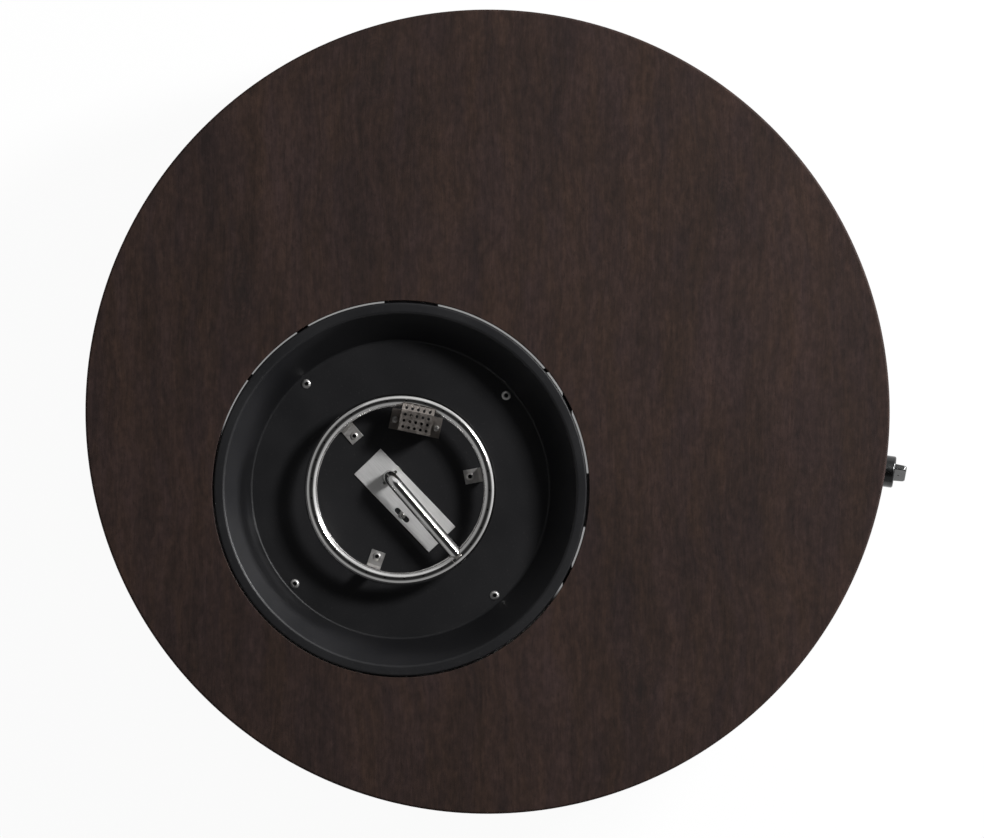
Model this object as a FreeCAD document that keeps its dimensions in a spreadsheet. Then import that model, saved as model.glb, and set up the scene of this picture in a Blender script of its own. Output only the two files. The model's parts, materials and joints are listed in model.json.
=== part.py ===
import FreeCAD, Part
import math
import os
import re
import Sketcher

# A round, low gas fire table: a wooden top with a drop-in steel fire bowl set off centre,
# a ring burner fed by an air-gas mixer, and a push-and-turn gas valve in a steel drum.
# Frame: +Z up, origin on the ground at the middle of the overall length and width, and
# the control knob towards -Y.

# ---------------------------------------------------------------------------
# Driving dimensions, in millimetres and degrees
# ---------------------------------------------------------------------------

DRIVING = [
    # wooden top
    ("top_diameter", 864, "diameter of the wooden top"),
    ("top_thickness", 22, "thickness of the wooden top"),
    ("table_height", 280, "height of the top above the ground"),
    ("top_edge_round", 2.5, "rounding of the top's upper edge"),
    ("top_lower_round", 1, "rounding of the top's lower edge"),
    ("opening_diameter", 405, "opening for the fire bowl"),
    ("opening_margin", 104.7, "wood between the opening and the top's edge"),
    ("opening_round", 0.8, "rounding of the opening's upper edge"),
    ("bowl_bearing", 140.07, "direction of the fire bowl, from +X"),
    ("pilot_depth", 13, "depth of the screw pilots in the wood"),
    # all fasteners
    ("hole_slack", 0.2, "clearance of a fastener hole over its shank"),
    ("head_crown", 0.6, "flat crown as a share of a screw head's diameter"),
    ("head_rim", 0.35, "upright rim as a share of a screw head's height"),
    # steel drum
    ("top_overhang", 8, "the top's edge beyond the drum"),
    ("drum_sheet", 1.5, "sheet thickness of the drum"),
    ("drum_flange", 34, "width of the drum's rolled flanges"),
    ("drum_bend", 1.2, "inside bend radius of the drum's flanges"),
    ("vent_pairs", 12, "pairs of air vents round the drum"),
    ("vent_length", 46, "height of an air vent"),
    ("vent_width", 9, "width of an air vent"),
    ("vent_level", 72, "middle of the vents above the ground"),
    ("top_screw_count", 8, "screws from the drum into the top"),
    ("wood_screw_shank", 4, "shank diameter of a wood screw"),
    ("wood_screw_head", 8, "head diameter of a wood screw"),
    ("wood_screw_head_height", 2.4, "head height of a wood screw"),
    ("wood_screw_length", 14, "length of a wood screw under its head"),
    # feet and base rails
    ("foot_height", 18, "height of a rubber foot"),
    ("foot_count", 6, "rubber feet under the drum"),
    ("foot_base_diameter", 30, "foot's diameter on the ground"),
    ("foot_neck_diameter", 26, "foot's diameter under the flange"),
    ("foot_edge", 1, "bevel round the foot's tread"),
    ("foot_recess_diameter", 15, "recess for the foot's screw head"),
    ("foot_recess_depth", 9, "depth of that recess"),
    ("foot_screw_shank", 5, "shank diameter of a foot screw"),
    ("foot_screw_head", 10, "head diameter of a foot screw"),
    ("foot_screw_head_height", 3, "head height of a foot screw"),
    ("foot_screw_grip", 16, "length of a foot screw under its head"),
    ("rail_bearing", 8.4, "direction of the base rails, from +X"),
    ("rail_offset", 87, "rail's middle from the middle of the drum"),
    ("rail_width", 10, "width of a base rail"),
    ("rail_height", 20, "height of a base rail"),
    ("rail_wall", 1.3, "wall of a base rail"),
    ("rail_end_gap", 4, "rail's end from the drum wall"),
    ("rail_bolt_diameter", 5, "rail bolt"),
    ("rail_bolt_head", 9, "head diameter of a rail bolt"),
    ("rail_bolt_head_height", 3, "head height of a rail bolt"),
    ("rail_bolt_stickout", 3, "rail bolt beyond the flange"),
    ("rail_bolt_point", 0.6, "bevel at a rail bolt's end"),
    # fire bowl
    ("bowl_play", 0.5, "bowl's shift in its opening, towards the top's edge"),
    ("bowl_clearance", 1.7, "gap round the bowl in its opening"),
    ("bowl_rim_width", 11.3, "flat rim of the bowl"),
    ("bowl_floor_diameter", 321.8, "floor of the bowl"),
    ("bowl_depth", 60, "depth of the bowl"),
    ("bowl_sheet", 1.5, "sheet thickness of the bowl"),
    ("bowl_bend", 1.6, "inside bend radius of the bowl"),
    ("rim_recess", 0.4, "rim below the wooden surface"),
    ("leg_opening", 30, "hole in the bowl's floor for the burner's leg"),
    # brackets that carry the bowl
    ("bracket_sheet", 2, "sheet thickness of a bowl bracket"),
    ("bracket_width", 58, "bracket's width at the opening"),
    ("bracket_seat", 43.5, "bracket's length under the wood"),
    ("bracket_lip", 13, "height of the lip inside the bowl's skirt"),
    ("bracket_screw_inset", 25.5, "bracket screws from the opening's edge"),
    ("bracket_screw_spread", 36, "distance between a bracket's two screws"),
    ("seat_slack", 0.1, "clearance between parts that seat on round faces"),
    # floor rivets and heat shield
    ("rivet_circle", 304.8, "circle of the four floor rivets"),
    ("rivet_head", 10.4, "head diameter of a floor rivet"),
    ("rivet_head_height", 2, "head height of a floor rivet"),
    ("rivet_bore", 3.8, "drawn-in pin hole of a rivet"),
    ("rivet_bore_depth", 1.5, "depth of that hole"),
    ("rivet_shank", 4.8, "shank diameter of a rivet"),
    ("rivet_head_rim", 0.5, "height of the head's upright rim"),
    ("rivet_head_bevel", 1.2, "bevel from that rim to the dome"),
    ("rivet_dome", 1.6, "height where the dome starts"),
    ("rivet_lip", 0.4, "lip round the pin hole"),
    ("rivet_tail", 7, "set tail of a rivet"),
    ("rivet_tail_length", 3.2, "length of the set tail"),
    ("rivet_tail_bevel", 1, "bevel at the tail's end"),
    ("shield_inset", 12.4, "shield's bend inside the floor rivets"),
    ("shield_sheet", 1, "sheet thickness of the heat shield"),
    ("shield_gap", 32, "heat shield below the bowl"),
    ("shield_ear_width", 22, "width of the shield's ears"),
    ("shield_ear_margin", 5.6, "ears beyond the middle of their rivets"),
    ("shield_opening", 34, "hole in the heat shield for the burner's leg"),
    # ring burner, feed tube and its tabs
    ("ring_diameter", 192.1, "ring burner, to the middle of its tube"),
    ("ring_tube", 14.3, "tube diameter of the ring"),
    ("tube_wall", 1.2, "wall of the burner tubes"),
    ("ring_lift", 33.5, "ring's middle above the bowl's floor"),
    ("port_count", 28, "gas ports on the ring's crown"),
    ("port_diameter", 2, "gas port"),
    ("port_shift", -1, "turn of all gas ports from an even spread about the feed tube"),
    ("burner_turn", -1, "burner's turn in the bowl"),
    ("feed_tube_size", 14.3, "diameter of the feed tube"),
    ("feed_bend", 11, "bend radius of the feed tube"),
    ("leg_offset", 17.3, "feed tube's leg from the bowl's centre"),
    ("weld_gap", 0.05, "fitting gap at a weld"),
    ("tab_width", 15.4, "width of a ring tab"),
    ("tab_sheet", 1.5, "sheet thickness of a ring tab"),
    ("tab_inner_radius", 70.1, "tab's free end from the bowl's centre"),
    ("tab_bend_radius", 85.8, "tab's bend from the bowl's centre"),
    ("tab_top_radius", 94.2, "tab's welded end from the bowl's centre"),
    ("tab_rivet_radius", 76.2, "tab rivet from the bowl's centre"),
    ("tab_rivet_head", 9, "head diameter of a tab rivet"),
    ("tab_weld_gap", 0.6, "tab's end below the tube, filled by the weld"),
    # cover plate
    ("plate_length", 116.5, "length of the cover plate"),
    ("plate_width", 39.7, "width of the cover plate"),
    ("plate_sheet", 1.5, "thickness of the cover plate"),
    ("plate_across", 4.3, "plate's middle beside the feed tube"),
    ("plate_along", 11.8, "plate's middle towards the ring"),
    ("plate_turn", 92.1, "direction of the plate's length in the bowl"),
    ("plate_leg_slack", 0.5, "plate's round hole clear of the leg"),
    ("plate_notch_reach", 10.1, "end of the hole's two side notches, from the leg"),
    ("plate_notch_width", 3, "width of those notches"),
    ("plate_slot_length", 20, "slot for the plate's screw"),
    ("plate_slot_width", 5.6, "width of that slot"),
    ("slot_across", 17.1, "slot's middle beside the feed tube"),
    ("slot_along", 21.6, "slot's middle towards the ring"),
    ("plate_screw_shank", 4, "shank diameter of the plate's screw"),
    ("plate_screw_head", 8, "head diameter of the plate's screw"),
    ("plate_screw_head_height", 2.2, "head height of the plate's screw"),
    ("plate_screw_grip", 7, "length of the plate's screw under its head"),
    # igniter hood with its electrode and flame sensor
    ("hood_radius", 73.4, "hood's middle from the bowl's centre"),
    ("hood_bearing", 215.4, "direction of the hood in the bowl"),
    ("hood_skew", 1, "hood's own turn"),
    ("hood_width", 35.2, "hood's width along the ring"),
    ("hood_depth", 22.6, "flat top of the hood, across the ring"),
    ("hood_slope", 7, "plan depth of the sloping back"),
    ("hood_slope_drop", 4.2, "drop of the sloping back"),
    ("hood_height", 46, "height of the hood"),
    ("hood_sheet", 1, "sheet thickness of the hood"),
    ("hood_base_width", 53.3, "hood's width over its flanges"),
    ("hood_mesh", 3.2, "diameter of the hood's holes"),
    ("hood_pitch_across", 6.4, "hole pitch along the ring"),
    ("hood_pitch_deep", 6.7, "hole pitch across the ring"),
    ("hood_screw_spread", 45.2, "distance between the hood's screws"),
    ("hood_screw_back", 0.8, "hood screws behind the middle"),
    ("hood_screw_shank", 3.5, "shank diameter of a hood screw"),
    ("hood_screw_head", 7, "head diameter of a hood screw"),
    ("hood_screw_head_height", 2, "head height of a hood screw"),
    ("hood_screw_grip", 7, "length of a hood screw under its head"),
    ("sensor_spread", 14, "distance between electrode and flame sensor"),
    ("sensor_forward", 2, "both in front of the hood's middle"),
    ("ceramic_diameter", 7, "electrode's ceramic body"),
    ("ceramic_collar", 10, "collar of the ceramic body"),
    ("ceramic_collar_height", 2, "height of that collar"),
    ("ceramic_above", 20, "ceramic body above the bowl's floor"),
    ("ceramic_below", 12, "ceramic body below the floor's top"),
    ("ceramic_taper", 1.5, "length of the ceramic body's tapered end"),
    ("ceramic_taper_depth", 1, "depth of that taper"),
    ("rod_diameter", 2, "electrode rod"),
    ("rod_rise", 16, "electrode rod above its ceramic body"),
    ("rod_bend", 4, "bend radius of the electrode rod"),
    ("rod_reach", 9, "electrode rod towards the ring"),
    ("sensor_diameter", 5, "flame sensor's sleeve"),
    ("sensor_tip_diameter", 3.4, "flame sensor's tip"),
    ("sensor_tip_length", 8, "length of that tip"),
    ("sensor_step", 1, "cone between sleeve and tip"),
    ("sensor_above", 30, "flame sensor above the bowl's floor"),
    ("sensor_below", 11, "flame sensor below the floor's top"),
    ("sensor_collar", 9, "flame sensor's collar"),
    ("sensor_collar_height", 3, "height of that collar"),
    # mixer below the bowl
    ("mixer_drop", 52.6, "mixer's axis below the bowl's floor"),
    ("mixer_bearing", -100.2, "direction of the mixer from the leg"),
    ("mixer_tube_size", 14.8, "outside of the mixer's tube"),
    ("mixer_wall", 1.3, "wall of the mixer"),
    ("mixer_start", 11, "mixer's tube inside the elbow, from the leg"),
    ("mixer_cone", 14, "length of the cone between tube and mouth"),
    ("mixer_mouth", 25, "outside of the mixer's mouth"),
    ("mixer_mouth_length", 38, "length of the mouth"),
    ("mixer_bead", 3, "width of the bead that stops the shutter"),
    ("mixer_bead_height", 1.6, "height of that bead"),
    ("mixer_length", 248, "mixer's end, from the leg"),
    ("mixer_end_wall", 3, "end wall of the mixer"),
    ("air_window_count", 4, "air windows in the mouth"),
    ("air_window_width", 9, "width of an air window"),
    ("air_window_length", 17, "length of an air window"),
    ("shutter_wall", 1.2, "wall of the air shutter"),
    ("shutter_end_gap", 0.4, "end play of the air shutter"),
    ("running_slack", 0.06, "radial clearance of a running fit"),
    ("elbow_size", 19, "outside of the mixer's elbow"),
    ("elbow_socket_height", 16, "leg socket above the mixer's axis"),
    ("elbow_socket_depth", 12, "depth of the leg socket"),
    ("elbow_spigot", 23, "mixer socket, from the leg"),
    # gas jet and pipe
    ("jet_nose", 7, "nose of the gas jet"),
    ("jet_nose_length", 5, "nose beyond the mixer's end wall"),
    ("jet_hex", 12, "gas jet across flats"),
    ("jet_hex_length", 6, "hexagon of the gas jet"),
    ("jet_orifice", 1.6, "orifice of the gas jet"),
    ("jet_block", 16, "side of the jet's elbow block"),
    ("jet_block_bevel", 1.5, "bevel along the elbow block"),
    ("jet_boss", 12, "boss of the elbow block's inlet"),
    ("jet_boss_reach", 18, "elbow block's inlet from the mixer's axis"),
    ("gas_pipe_size", 8, "gas pipe"),
    ("gas_pipe_level", 17, "gas pipe's long run below the mixer's axis"),
    ("gas_pipe_bend", 26, "usual bend radius of the gas pipe"),
    ("pipe_nut", 14, "pipe nut across flats"),
    ("pipe_nut_length", 11, "length of a pipe nut"),
    # gas valve
    ("knob_drop", 58, "knob's axis below the wooden surface"),
    ("neck_diameter", 16, "threaded neck of the valve"),
    ("neck_bore", 12, "spring chamber in the neck"),
    ("neck_front", 5, "neck's end beyond the drum wall"),
    ("neck_hole_slack", 1, "wall hole over the neck"),
    ("chamber_back", -20, "back of the spring chamber"),
    ("stem_diameter", 6, "valve stem"),
    ("stem_back", -32, "inner end of the stem"),
    ("stem_front", 24, "outer end of the stem"),
    ("stem_bore_back", -37, "back of the stem's bore"),
    ("stem_flat", 1.2, "depth of the flat on the stem"),
    ("stem_flat_start", 8, "start of the flat"),
    ("shoulder_diameter", 9.4, "shoulder of the stem"),
    ("shoulder_back", -0.6, "back of the shoulder"),
    ("shoulder_front", 1.8, "front of the shoulder"),
    ("collar_thickness", 2.4, "push collar"),
    ("collar_gap", 0.1, "push collar behind the stem's shoulder"),
    ("collar_slack", 0.15, "push collar in the chamber"),
    ("spring_wire", 0.9, "wire of the return spring"),
    ("spring_turns", 5, "turns of the return spring"),
    ("cap_spigot", 3, "neck cap inside the chamber"),
    ("cap_thickness", 1.6, "neck cap in front of the neck"),
    ("seat_flange_diameter", 28, "valve's flange against the drum wall"),
    ("seat_flange_front", -1.9, "front of that flange"),
    ("seat_flange_back", -6, "back of that flange"),
    ("seat_flange_sink", 1, "flange's root inside the valve block"),
    ("valve_width", 30, "valve block's width"),
    ("valve_tall", 32, "valve block's height"),
    ("valve_back", -62, "back of the valve block"),
    ("valve_round", 3, "corner radius of the valve block"),
    ("outlet_boss", 15, "outlet boss of the valve"),
    ("outlet_boss_length", 6, "length of that boss"),
    ("inlet_inset", 14, "gas inlet in front of the valve block's back"),
    ("inlet_hex", 17, "inlet fitting across flats"),
    ("inlet_hex_length", 6, "hexagon of the inlet fitting"),
    ("inlet_thread", 15.88, "male thread of the gas inlet"),
    ("inlet_thread_length", 14, "length of that thread"),
    ("inlet_bore", 6, "gas way in the inlet fitting"),
    ("sensor_boss", 8, "flame sensor's union on the valve"),
    ("sensor_boss_length", 9, "length of that union"),
    ("sensor_boss_across", 10.4, "that union beside the valve's axis"),
    ("sensor_boss_down", 10, "that union below the valve's axis"),
    ("bezel_diameter", 46, "bezel behind the knob"),
    ("bezel_thickness", 1.5, "thickness of the bezel"),
    ("bezel_rim", 0.6, "height of the bezel's upright rim"),
    ("bezel_bevel", 1, "width of the bezel's bevel"),
    ("neck_nut", 22, "neck nut across flats"),
    ("neck_nut_thickness", 3, "thickness of the neck nut"),
    ("igniter_width", 15, "piezo igniter's width"),
    ("igniter_tall", 18, "piezo igniter's height"),
    ("igniter_front", -16, "front of the piezo igniter"),
    ("igniter_back", -54, "back of the piezo igniter"),
    ("igniter_round", 4, "corner radius of the piezo igniter"),
    # control knob
    ("knob_travel", 3, "push of the knob"),
    ("knob_skirt", 34, "diameter of the knob's skirt"),
    ("knob_skirt_play", 1.7, "skirt in front of the bezel when pushed"),
    ("knob_skirt_front", 18.7, "front of the skirt"),
    ("knob_skirt_wall", 2, "wall of the skirt"),
    ("knob_play", 0.6, "knob's hollow in front of the neck cap when pushed"),
    ("knob_skirt_round", 2, "rounding of the skirt"),
    ("knob_front", 31, "end of the grip"),
    ("knob_lean", 23, "lean of the grip to the right when the gas is off"),
    ("grip_base_width", 6.6, "grip's thickness at the skirt"),
    ("grip_end_width", 5.4, "grip's thickness at its end"),
    ("grip_base_tall", 32.6, "grip's length at the skirt"),
    ("grip_root", 2, "grip's root inside the skirt"),
    ("grip_end_tall", 31, "grip's length at its end"),
    ("grip_corner", 4, "rounding of the grip's two outer corners"),
    ("grip_round", 0.9, "rounding of the grip's long edges"),
    # leads
    ("boot_diameter", 11, "boot on the electrode"),
    ("boot_end_wall", 2, "boot's wall below the electrode"),
    ("boot_gap", 1, "boot below the bowl's sheet"),
    ("boot_arm_gap", 0.5, "boot above its side arm"),
    ("boot_arm_root", 1, "root of the side arm inside the boot"),
    ("boot_arm_diameter", 7, "side arm of the boot"),
    ("boot_arm_reach", 13, "side arm from the boot's axis"),
    ("boot_heading", -54, "direction of the boot's arm from the hood"),
    ("ignition_lead_size", 4.8, "ignition lead"),
    ("sensor_lead_size", 2.6, "flame sensor's lead"),
    ("lead_drop", 21.6, "leads below the bowl's floor"),
]

# Sizes and places that follow from the driving dimensions.
DERIVED = {
    "top_radius": "top_diameter / 2",
    "drum_radius": "top_radius - top_overhang",
    "drum_inside": "drum_radius - drum_sheet",
    "flange_middle": "drum_radius - drum_flange / 2",
    "underside": "table_height - top_thickness",
    "flange_top": "foot_height + drum_sheet",
    "table_shift": "(drum_radius + knob_front - top_radius) / 2",
    "opening_offset": "top_radius - opening_diameter / 2 - opening_margin",
    "bowl_offset": "opening_offset + bowl_play",
    "opening_x": "opening_offset * cos(bowl_bearing)",
    "opening_y": "opening_offset * sin(bowl_bearing)",
    "bracket_reach": "opening_diameter / 2 + bracket_seat",
    "bracket_screw_radius": "opening_diameter / 2 + bracket_screw_inset",
    "bowl_x": "bowl_offset * cos(bowl_bearing)",
    "bowl_y": "bowl_offset * sin(bowl_bearing)",
    "rim_top": "table_height - rim_recess",
    "rim_radius": "opening_diameter / 2 - bowl_clearance",
    "rim_inner": "rim_radius - bowl_rim_width",
    "floor_radius": "bowl_floor_diameter / 2",
    "floor_top": "rim_top - bowl_depth",
    "skirt_depth": "top_thickness - rim_recess",
    "wall_lean": "(rim_inner - floor_radius) / bowl_depth",
    "wall_run": "bowl_sheet * sqrt(1 + wall_lean ^ 2)",
    "skirt_inside": "rim_radius - bowl_sheet",
    "ring_radius": "ring_diameter / 2",
    "port_pitch": "360 / (port_count + 1)",
    "shield_radius": "rivet_circle / 2 - shield_inset",
    "shield_ear_reach": "rivet_circle / 2 + shield_ear_margin",
    "shield_level": "floor_top - bowl_sheet - shield_gap - shield_sheet",
    "mixer_level": "floor_top - mixer_drop",
    "knob_level": "table_height - knob_drop",
    "collar_back": "shoulder_back - collar_gap - collar_thickness",
    "cap_back": "neck_front - cap_spigot",
    "knob_skirt_back": "bezel_thickness + knob_travel + knob_skirt_play",
    "knob_cavity_front": "neck_front + cap_thickness + knob_travel + knob_play",
    "mouth_radius": "mixer_mouth / 2",
    "mixer_mouth_start": "mixer_length - mixer_mouth_length",
    "mixer_straight": "mixer_mouth_start - mixer_cone",
    "bead_end": "mixer_mouth_start + mixer_bead",
    "shutter_start": "bead_end + shutter_end_gap",
    "shutter_end": "mixer_length - mixer_end_wall - shutter_end_gap",
    "window_middle": "(shutter_start + shutter_end) / 2",
    "jet_block_middle": "mixer_length + jet_hex_length + jet_block / 2",
}

doc = FreeCAD.newDocument("GasFireTable")
dims = doc.addObject("Spreadsheet::Sheet", "dims")
for row, (alias, size, meaning) in enumerate(DRIVING, start=1):
    dims.set(f"A{row}", meaning)
    dims.set(f"B{row}", str(size))
    dims.setAlias(f"B{row}", alias)
doc.recompute()

ALIASES = {alias for alias, _, _ in DRIVING}


# ---------------------------------------------------------------------------
# Helpers: formulas, placements, sketches and features
# ---------------------------------------------------------------------------

def formula(text):
    """Write out a formula in spreadsheet names, with derived names replaced by theirs."""
    def spell(match):
        word = match.group(0)
        if word in DERIVED:
            return f"({formula(DERIVED[word])})"
        if word in ALIASES:
            return f"dims.{word}"
        return word
    return re.sub(r"[a-z][a-z_]*", spell, text)


def value(text):
    """The number that a formula gives now."""
    return float(dims.evalExpression(formula(text)))


def at(x="0", y="0", z="0"):
    """A shift, as a placement formula."""
    return f"placement(vector({x}; {y}; {z}); rotation(vector(0; 0; 1); 0))"


def turned(angle, axis="0; 0; 1"):
    """A turn about an axis through the origin, as a placement formula."""
    return f"placement(vector(0; 0; 0); rotation(vector({axis}); {angle}))"


def in_table(*frames):
    """The product of frames that starts at the middle of the top, as a placement formula."""
    return formula(" * ".join((at(y="table_shift"), *frames)))


def point_in(frame, x="0", y="0", z="0"):
    """A point of a local frame, in the frame of the whole part."""
    local = FreeCAD.Vector(value(x), value(y), value(z))
    return dims.evalExpression(in_table(frame)).multVec(local)


def new_body(label, *frames):
    """An empty body whose placement is bound to the product of the given frames."""
    body = doc.addObject("PartDesign::Body", label)
    body.Label = label
    body.setExpression("Placement", in_table(*frames))
    return body


def new_sketch(body, plane, x="0", y="0", z="0"):
    """A sketch on one of the body's own planes, moved by x, y, z in the body's frame."""
    sketch = body.newObject("Sketcher::SketchObject", f"{body.Label}_sketch")
    support = [feature for feature in body.Origin.OriginFeatures if feature.Role == plane]
    sketch.AttachmentSupport = [(support[0], "")]
    sketch.MapMode = "FlatFace"
    shifts = {
        "XY_Plane": (x, y, z),
        "XZ_Plane": (x, z, f"-({y})"),
        "YZ_Plane": (y, z, x),
    }[plane]
    for axis, shift in zip("xyz", shifts):
        if shift not in ("0", "-(0)"):
            sketch.setExpression(f"AttachmentOffset.Base.{axis}", formula(shift))
    return sketch


def bind(sketch, kind, geometry, position, text):
    """Fix one coordinate of a sketch point to a formula."""
    size = value(text)
    if abs(size) < 1e-9:
        axis = -2 if kind == "DistanceX" else -1
        sketch.addConstraint(Sketcher.Constraint("PointOnObject", geometry, position, axis))
        return
    number = sketch.addConstraint(Sketcher.Constraint(kind, -1, 1, geometry, position, size))
    sketch.setExpression(f"Constraints[{number}]", formula(text))


def arc_between(start, end, axis, level, inwards):
    """The arc from start to end whose centre has the given coordinate along an axis."""
    middle = (start + end) / 2
    chord = end - start
    normal = FreeCAD.Vector(-chord.y, chord.x, 0)
    if axis == "x":
        along = (level - middle.x) / normal.x
    else:
        along = (level - middle.y) / normal.y
    centre = middle + normal * along
    radius = (start - centre).Length
    first, last = (end, start) if inwards else (start, end)
    first_angle = math.atan2(first.y - centre.y, first.x - centre.x)
    last_angle = math.atan2(last.y - centre.y, last.x - centre.x)
    circle = Part.Circle(centre, FreeCAD.Vector(0, 0, 1), radius)
    return Part.ArcOfCircle(circle, first_angle, last_angle)


def draw_outline(sketch, corners):
    """Draw a closed outline, counter-clockwise, each corner bound to a pair of formulas.

    A corner may add ("x" or "y", formula) for an arc to the next corner that bulges
    outwards and whose centre has that coordinate, and "in" after it for a hollow arc.
    """
    points = [FreeCAD.Vector(value(corner[0]), value(corner[1]), 0) for corner in corners]
    ends = []
    for index, corner in enumerate(corners):
        start = points[index]
        end = points[(index + 1) % len(points)]
        if len(corner) == 2:
            number = sketch.addGeometry(Part.LineSegment(start, end))
            ends.append((number, 1, 2))
            continue
        axis, level = corner[2]
        inwards = len(corner) == 4
        number = sketch.addGeometry(arc_between(start, end, axis, value(level), inwards))
        ends.append((number, 2, 1) if inwards else (number, 1, 2))
    for index, (number, _, last) in enumerate(ends):
        following, first, _ = ends[(index + 1) % len(ends)]
        sketch.addConstraint(Sketcher.Constraint("Coincident", number, last, following, first))
    for corner, (number, first, _) in zip(corners, ends):
        bind(sketch, "DistanceX", number, first, corner[0])
        bind(sketch, "DistanceY", number, first, corner[1])
        if len(corner) > 2:
            axis, level = corner[2]
            bind(sketch, "DistanceX" if axis == "x" else "DistanceY", number, 3, level)


def draw_circles(sketch, discs):
    """Draw circles, each bound to formulas for its centre and its diameter."""
    for across, up, diameter in discs:
        centre = FreeCAD.Vector(value(across), value(up), 0)
        circle = Part.Circle(centre, FreeCAD.Vector(0, 0, 1), value(diameter) / 2)
        number = sketch.addGeometry(circle)
        bind(sketch, "DistanceX", number, 3, across)
        bind(sketch, "DistanceY", number, 3, up)
        size = sketch.addConstraint(Sketcher.Constraint("Diameter", number, value(diameter)))
        sketch.setExpression(f"Constraints[{size}]", formula(diameter))


def rectangle(width, height, across="0", up="0"):
    """The corners of a rectangle about a middle."""
    left = f"{across} - ({width}) / 2"
    right = f"{across} + ({width}) / 2"
    low = f"{up} - ({height}) / 2"
    high = f"{up} + ({height}) / 2"
    return [(left, low), (right, low), (right, high), (left, high)]


def slot(width, length, across="0", up="0"):
    """The outline of an upright round-ended slot about a middle."""
    left = f"{across} - {width} / 2"
    right = f"{across} + {width} / 2"
    low = f"{up} - ({length} - {width}) / 2"
    high = f"{up} + ({length} - {width}) / 2"
    return [(left, low, ("y", low)), (right, low), (right, high, ("y", high)), (left, high)]


def hexagon(flats):
    """The corners of a hexagon across its flats."""
    side = f"({flats}) / sqrt(3)"
    half = f"({flats}) / sqrt(3) / 2"
    edge = f"({flats}) / 2"
    return [(side, "0"), (half, edge), (f"-{half}", edge),
            (f"-{side}", "0"), (f"-{half}", f"-{edge}"), (half, f"-{edge}")]


def volume(body):
    """The body's volume after a recompute."""
    doc.recompute()
    return body.Shape.Volume


def revolve(body, corners, x="0", y="0", angle="360"):
    """Add a solid turned about an upright axis through x, y."""
    sketch = new_sketch(body, "XZ_Plane", x, y)
    draw_outline(sketch, corners)
    feature = body.newObject("PartDesign::Revolution", f"{body.Label}_turned")
    feature.Profile = sketch
    feature.ReferenceAxis = (sketch, ["V_Axis"])
    feature.Midplane = True
    feature.setExpression("Angle", formula(angle))
    doc.recompute()
    return feature


def extrude(body, sketch, length, midplane=False, backwards=False):
    """Add a sketch's pad."""
    feature = body.newObject("PartDesign::Pad", f"{body.Label}_pad")
    feature.Profile = sketch
    feature.Midplane = midplane
    feature.Reversed = backwards
    feature.setExpression("Length", formula(length))
    doc.recompute()
    return feature


def cut(body, sketch, length, midplane=False, backwards=False):
    """Cut a sketch's pocket, and make sure that it removed something."""
    before = volume(body)
    feature = body.newObject("PartDesign::Pocket", f"{body.Label}_pocket")
    feature.Profile = sketch
    feature.Midplane = midplane
    feature.Reversed = backwards
    feature.setExpression("Length", formula(length))
    if volume(body) > before - 1e-6:
        raise RuntimeError(f"a pocket of {body.Label} removes nothing")
    return feature


def repeat(body, features, count, angle="360"):
    """Repeat features about the body's upright axis."""
    pattern = body.newObject("PartDesign::PolarPattern", f"{body.Label}_pattern")
    pattern.Originals = features
    axes = [feature for feature in body.Origin.OriginFeatures if feature.Role == "Z_Axis"]
    pattern.Axis = (axes[0], [""])
    pattern.setExpression("Angle", formula(angle))
    pattern.setExpression("Occurrences", formula(count))
    body.Tip = pattern
    doc.recompute()
    return pattern


def circle_edges(body, circles):
    """Names of the circular edges about an axis parallel to Z, by radius and height."""
    names = []
    for radius, height in circles:
        for number, edge in enumerate(body.Tip.Shape.Edges, start=1):
            if not isinstance(edge.Curve, Part.Circle):
                continue
            same_size = abs(edge.Curve.Radius - value(radius)) < 0.01
            if same_size and abs(edge.Curve.Center.z - value(height)) < 0.01:
                names.append(f"Edge{number}")
    return names


def dress(body, kind, edges, size):
    """Fillet or chamfer named edges of the body's last feature."""
    if not edges:
        raise RuntimeError(f"no edges to dress on {body.Label}")
    base = body.Tip
    feature = body.newObject(f"PartDesign::{kind}", f"{body.Label}_{kind.lower()}")
    feature.Base = (base, edges)
    feature.setExpression("Radius" if kind == "Fillet" else "Size", formula(size))
    doc.recompute()
    return feature


def screw_outline(head, head_height, shank, length):
    """Half outline of a screw that points up, its head's bearing face at zero."""
    return [("0", f"-{head_height}"), (f"{head} * head_crown / 2", f"-{head_height}"),
            (f"{head} / 2", f"-{head_height} * head_rim"), (f"{head} / 2", "0"),
            (f"{shank} / 2", "0"), (f"{shank} / 2", f"{length} - {shank} / 2"),
            ("0", length)]


def rivet_outline(head, layers):
    """Half outline of a set blind rivet, its head's bearing face at zero."""
    tail_end = f"-({layers}) - rivet_tail_length"
    return [("0", tail_end),
            ("rivet_tail / 2 - rivet_tail_bevel", tail_end),
            ("rivet_tail / 2", f"{tail_end} + rivet_tail_bevel"),
            ("rivet_tail / 2", f"-({layers})"),
            ("rivet_shank / 2", f"-({layers})"),
            ("rivet_shank / 2", "0"),
            (f"{head} / 2", "0"),
            (f"{head} / 2", "rivet_head_rim"),
            (f"{head} / 2 - rivet_head_bevel", "rivet_dome"),
            ("rivet_bore / 2 + rivet_lip", "rivet_head_height"),
            ("rivet_bore / 2", "rivet_head_height - rivet_bore_depth"),
            ("0", "rivet_head_height - rivet_bore_depth")]


# ---------------------------------------------------------------------------
# Frames
# ---------------------------------------------------------------------------

# The bowl's own frame: +X points outwards, away from the middle of the top.
BOWL = f"{at('bowl_x', 'bowl_y')} * {turned('bowl_bearing')}"
BOWL_FLOOR = f"{BOWL} * {at(z='floor_top')}"
BURNER = f"{BOWL_FLOOR} * {turned('burner_turn')}"
HOOD = f"{BOWL_FLOOR} * {turned('hood_bearing')} * {at('hood_radius')} * {turned('hood_skew')}"
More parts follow.
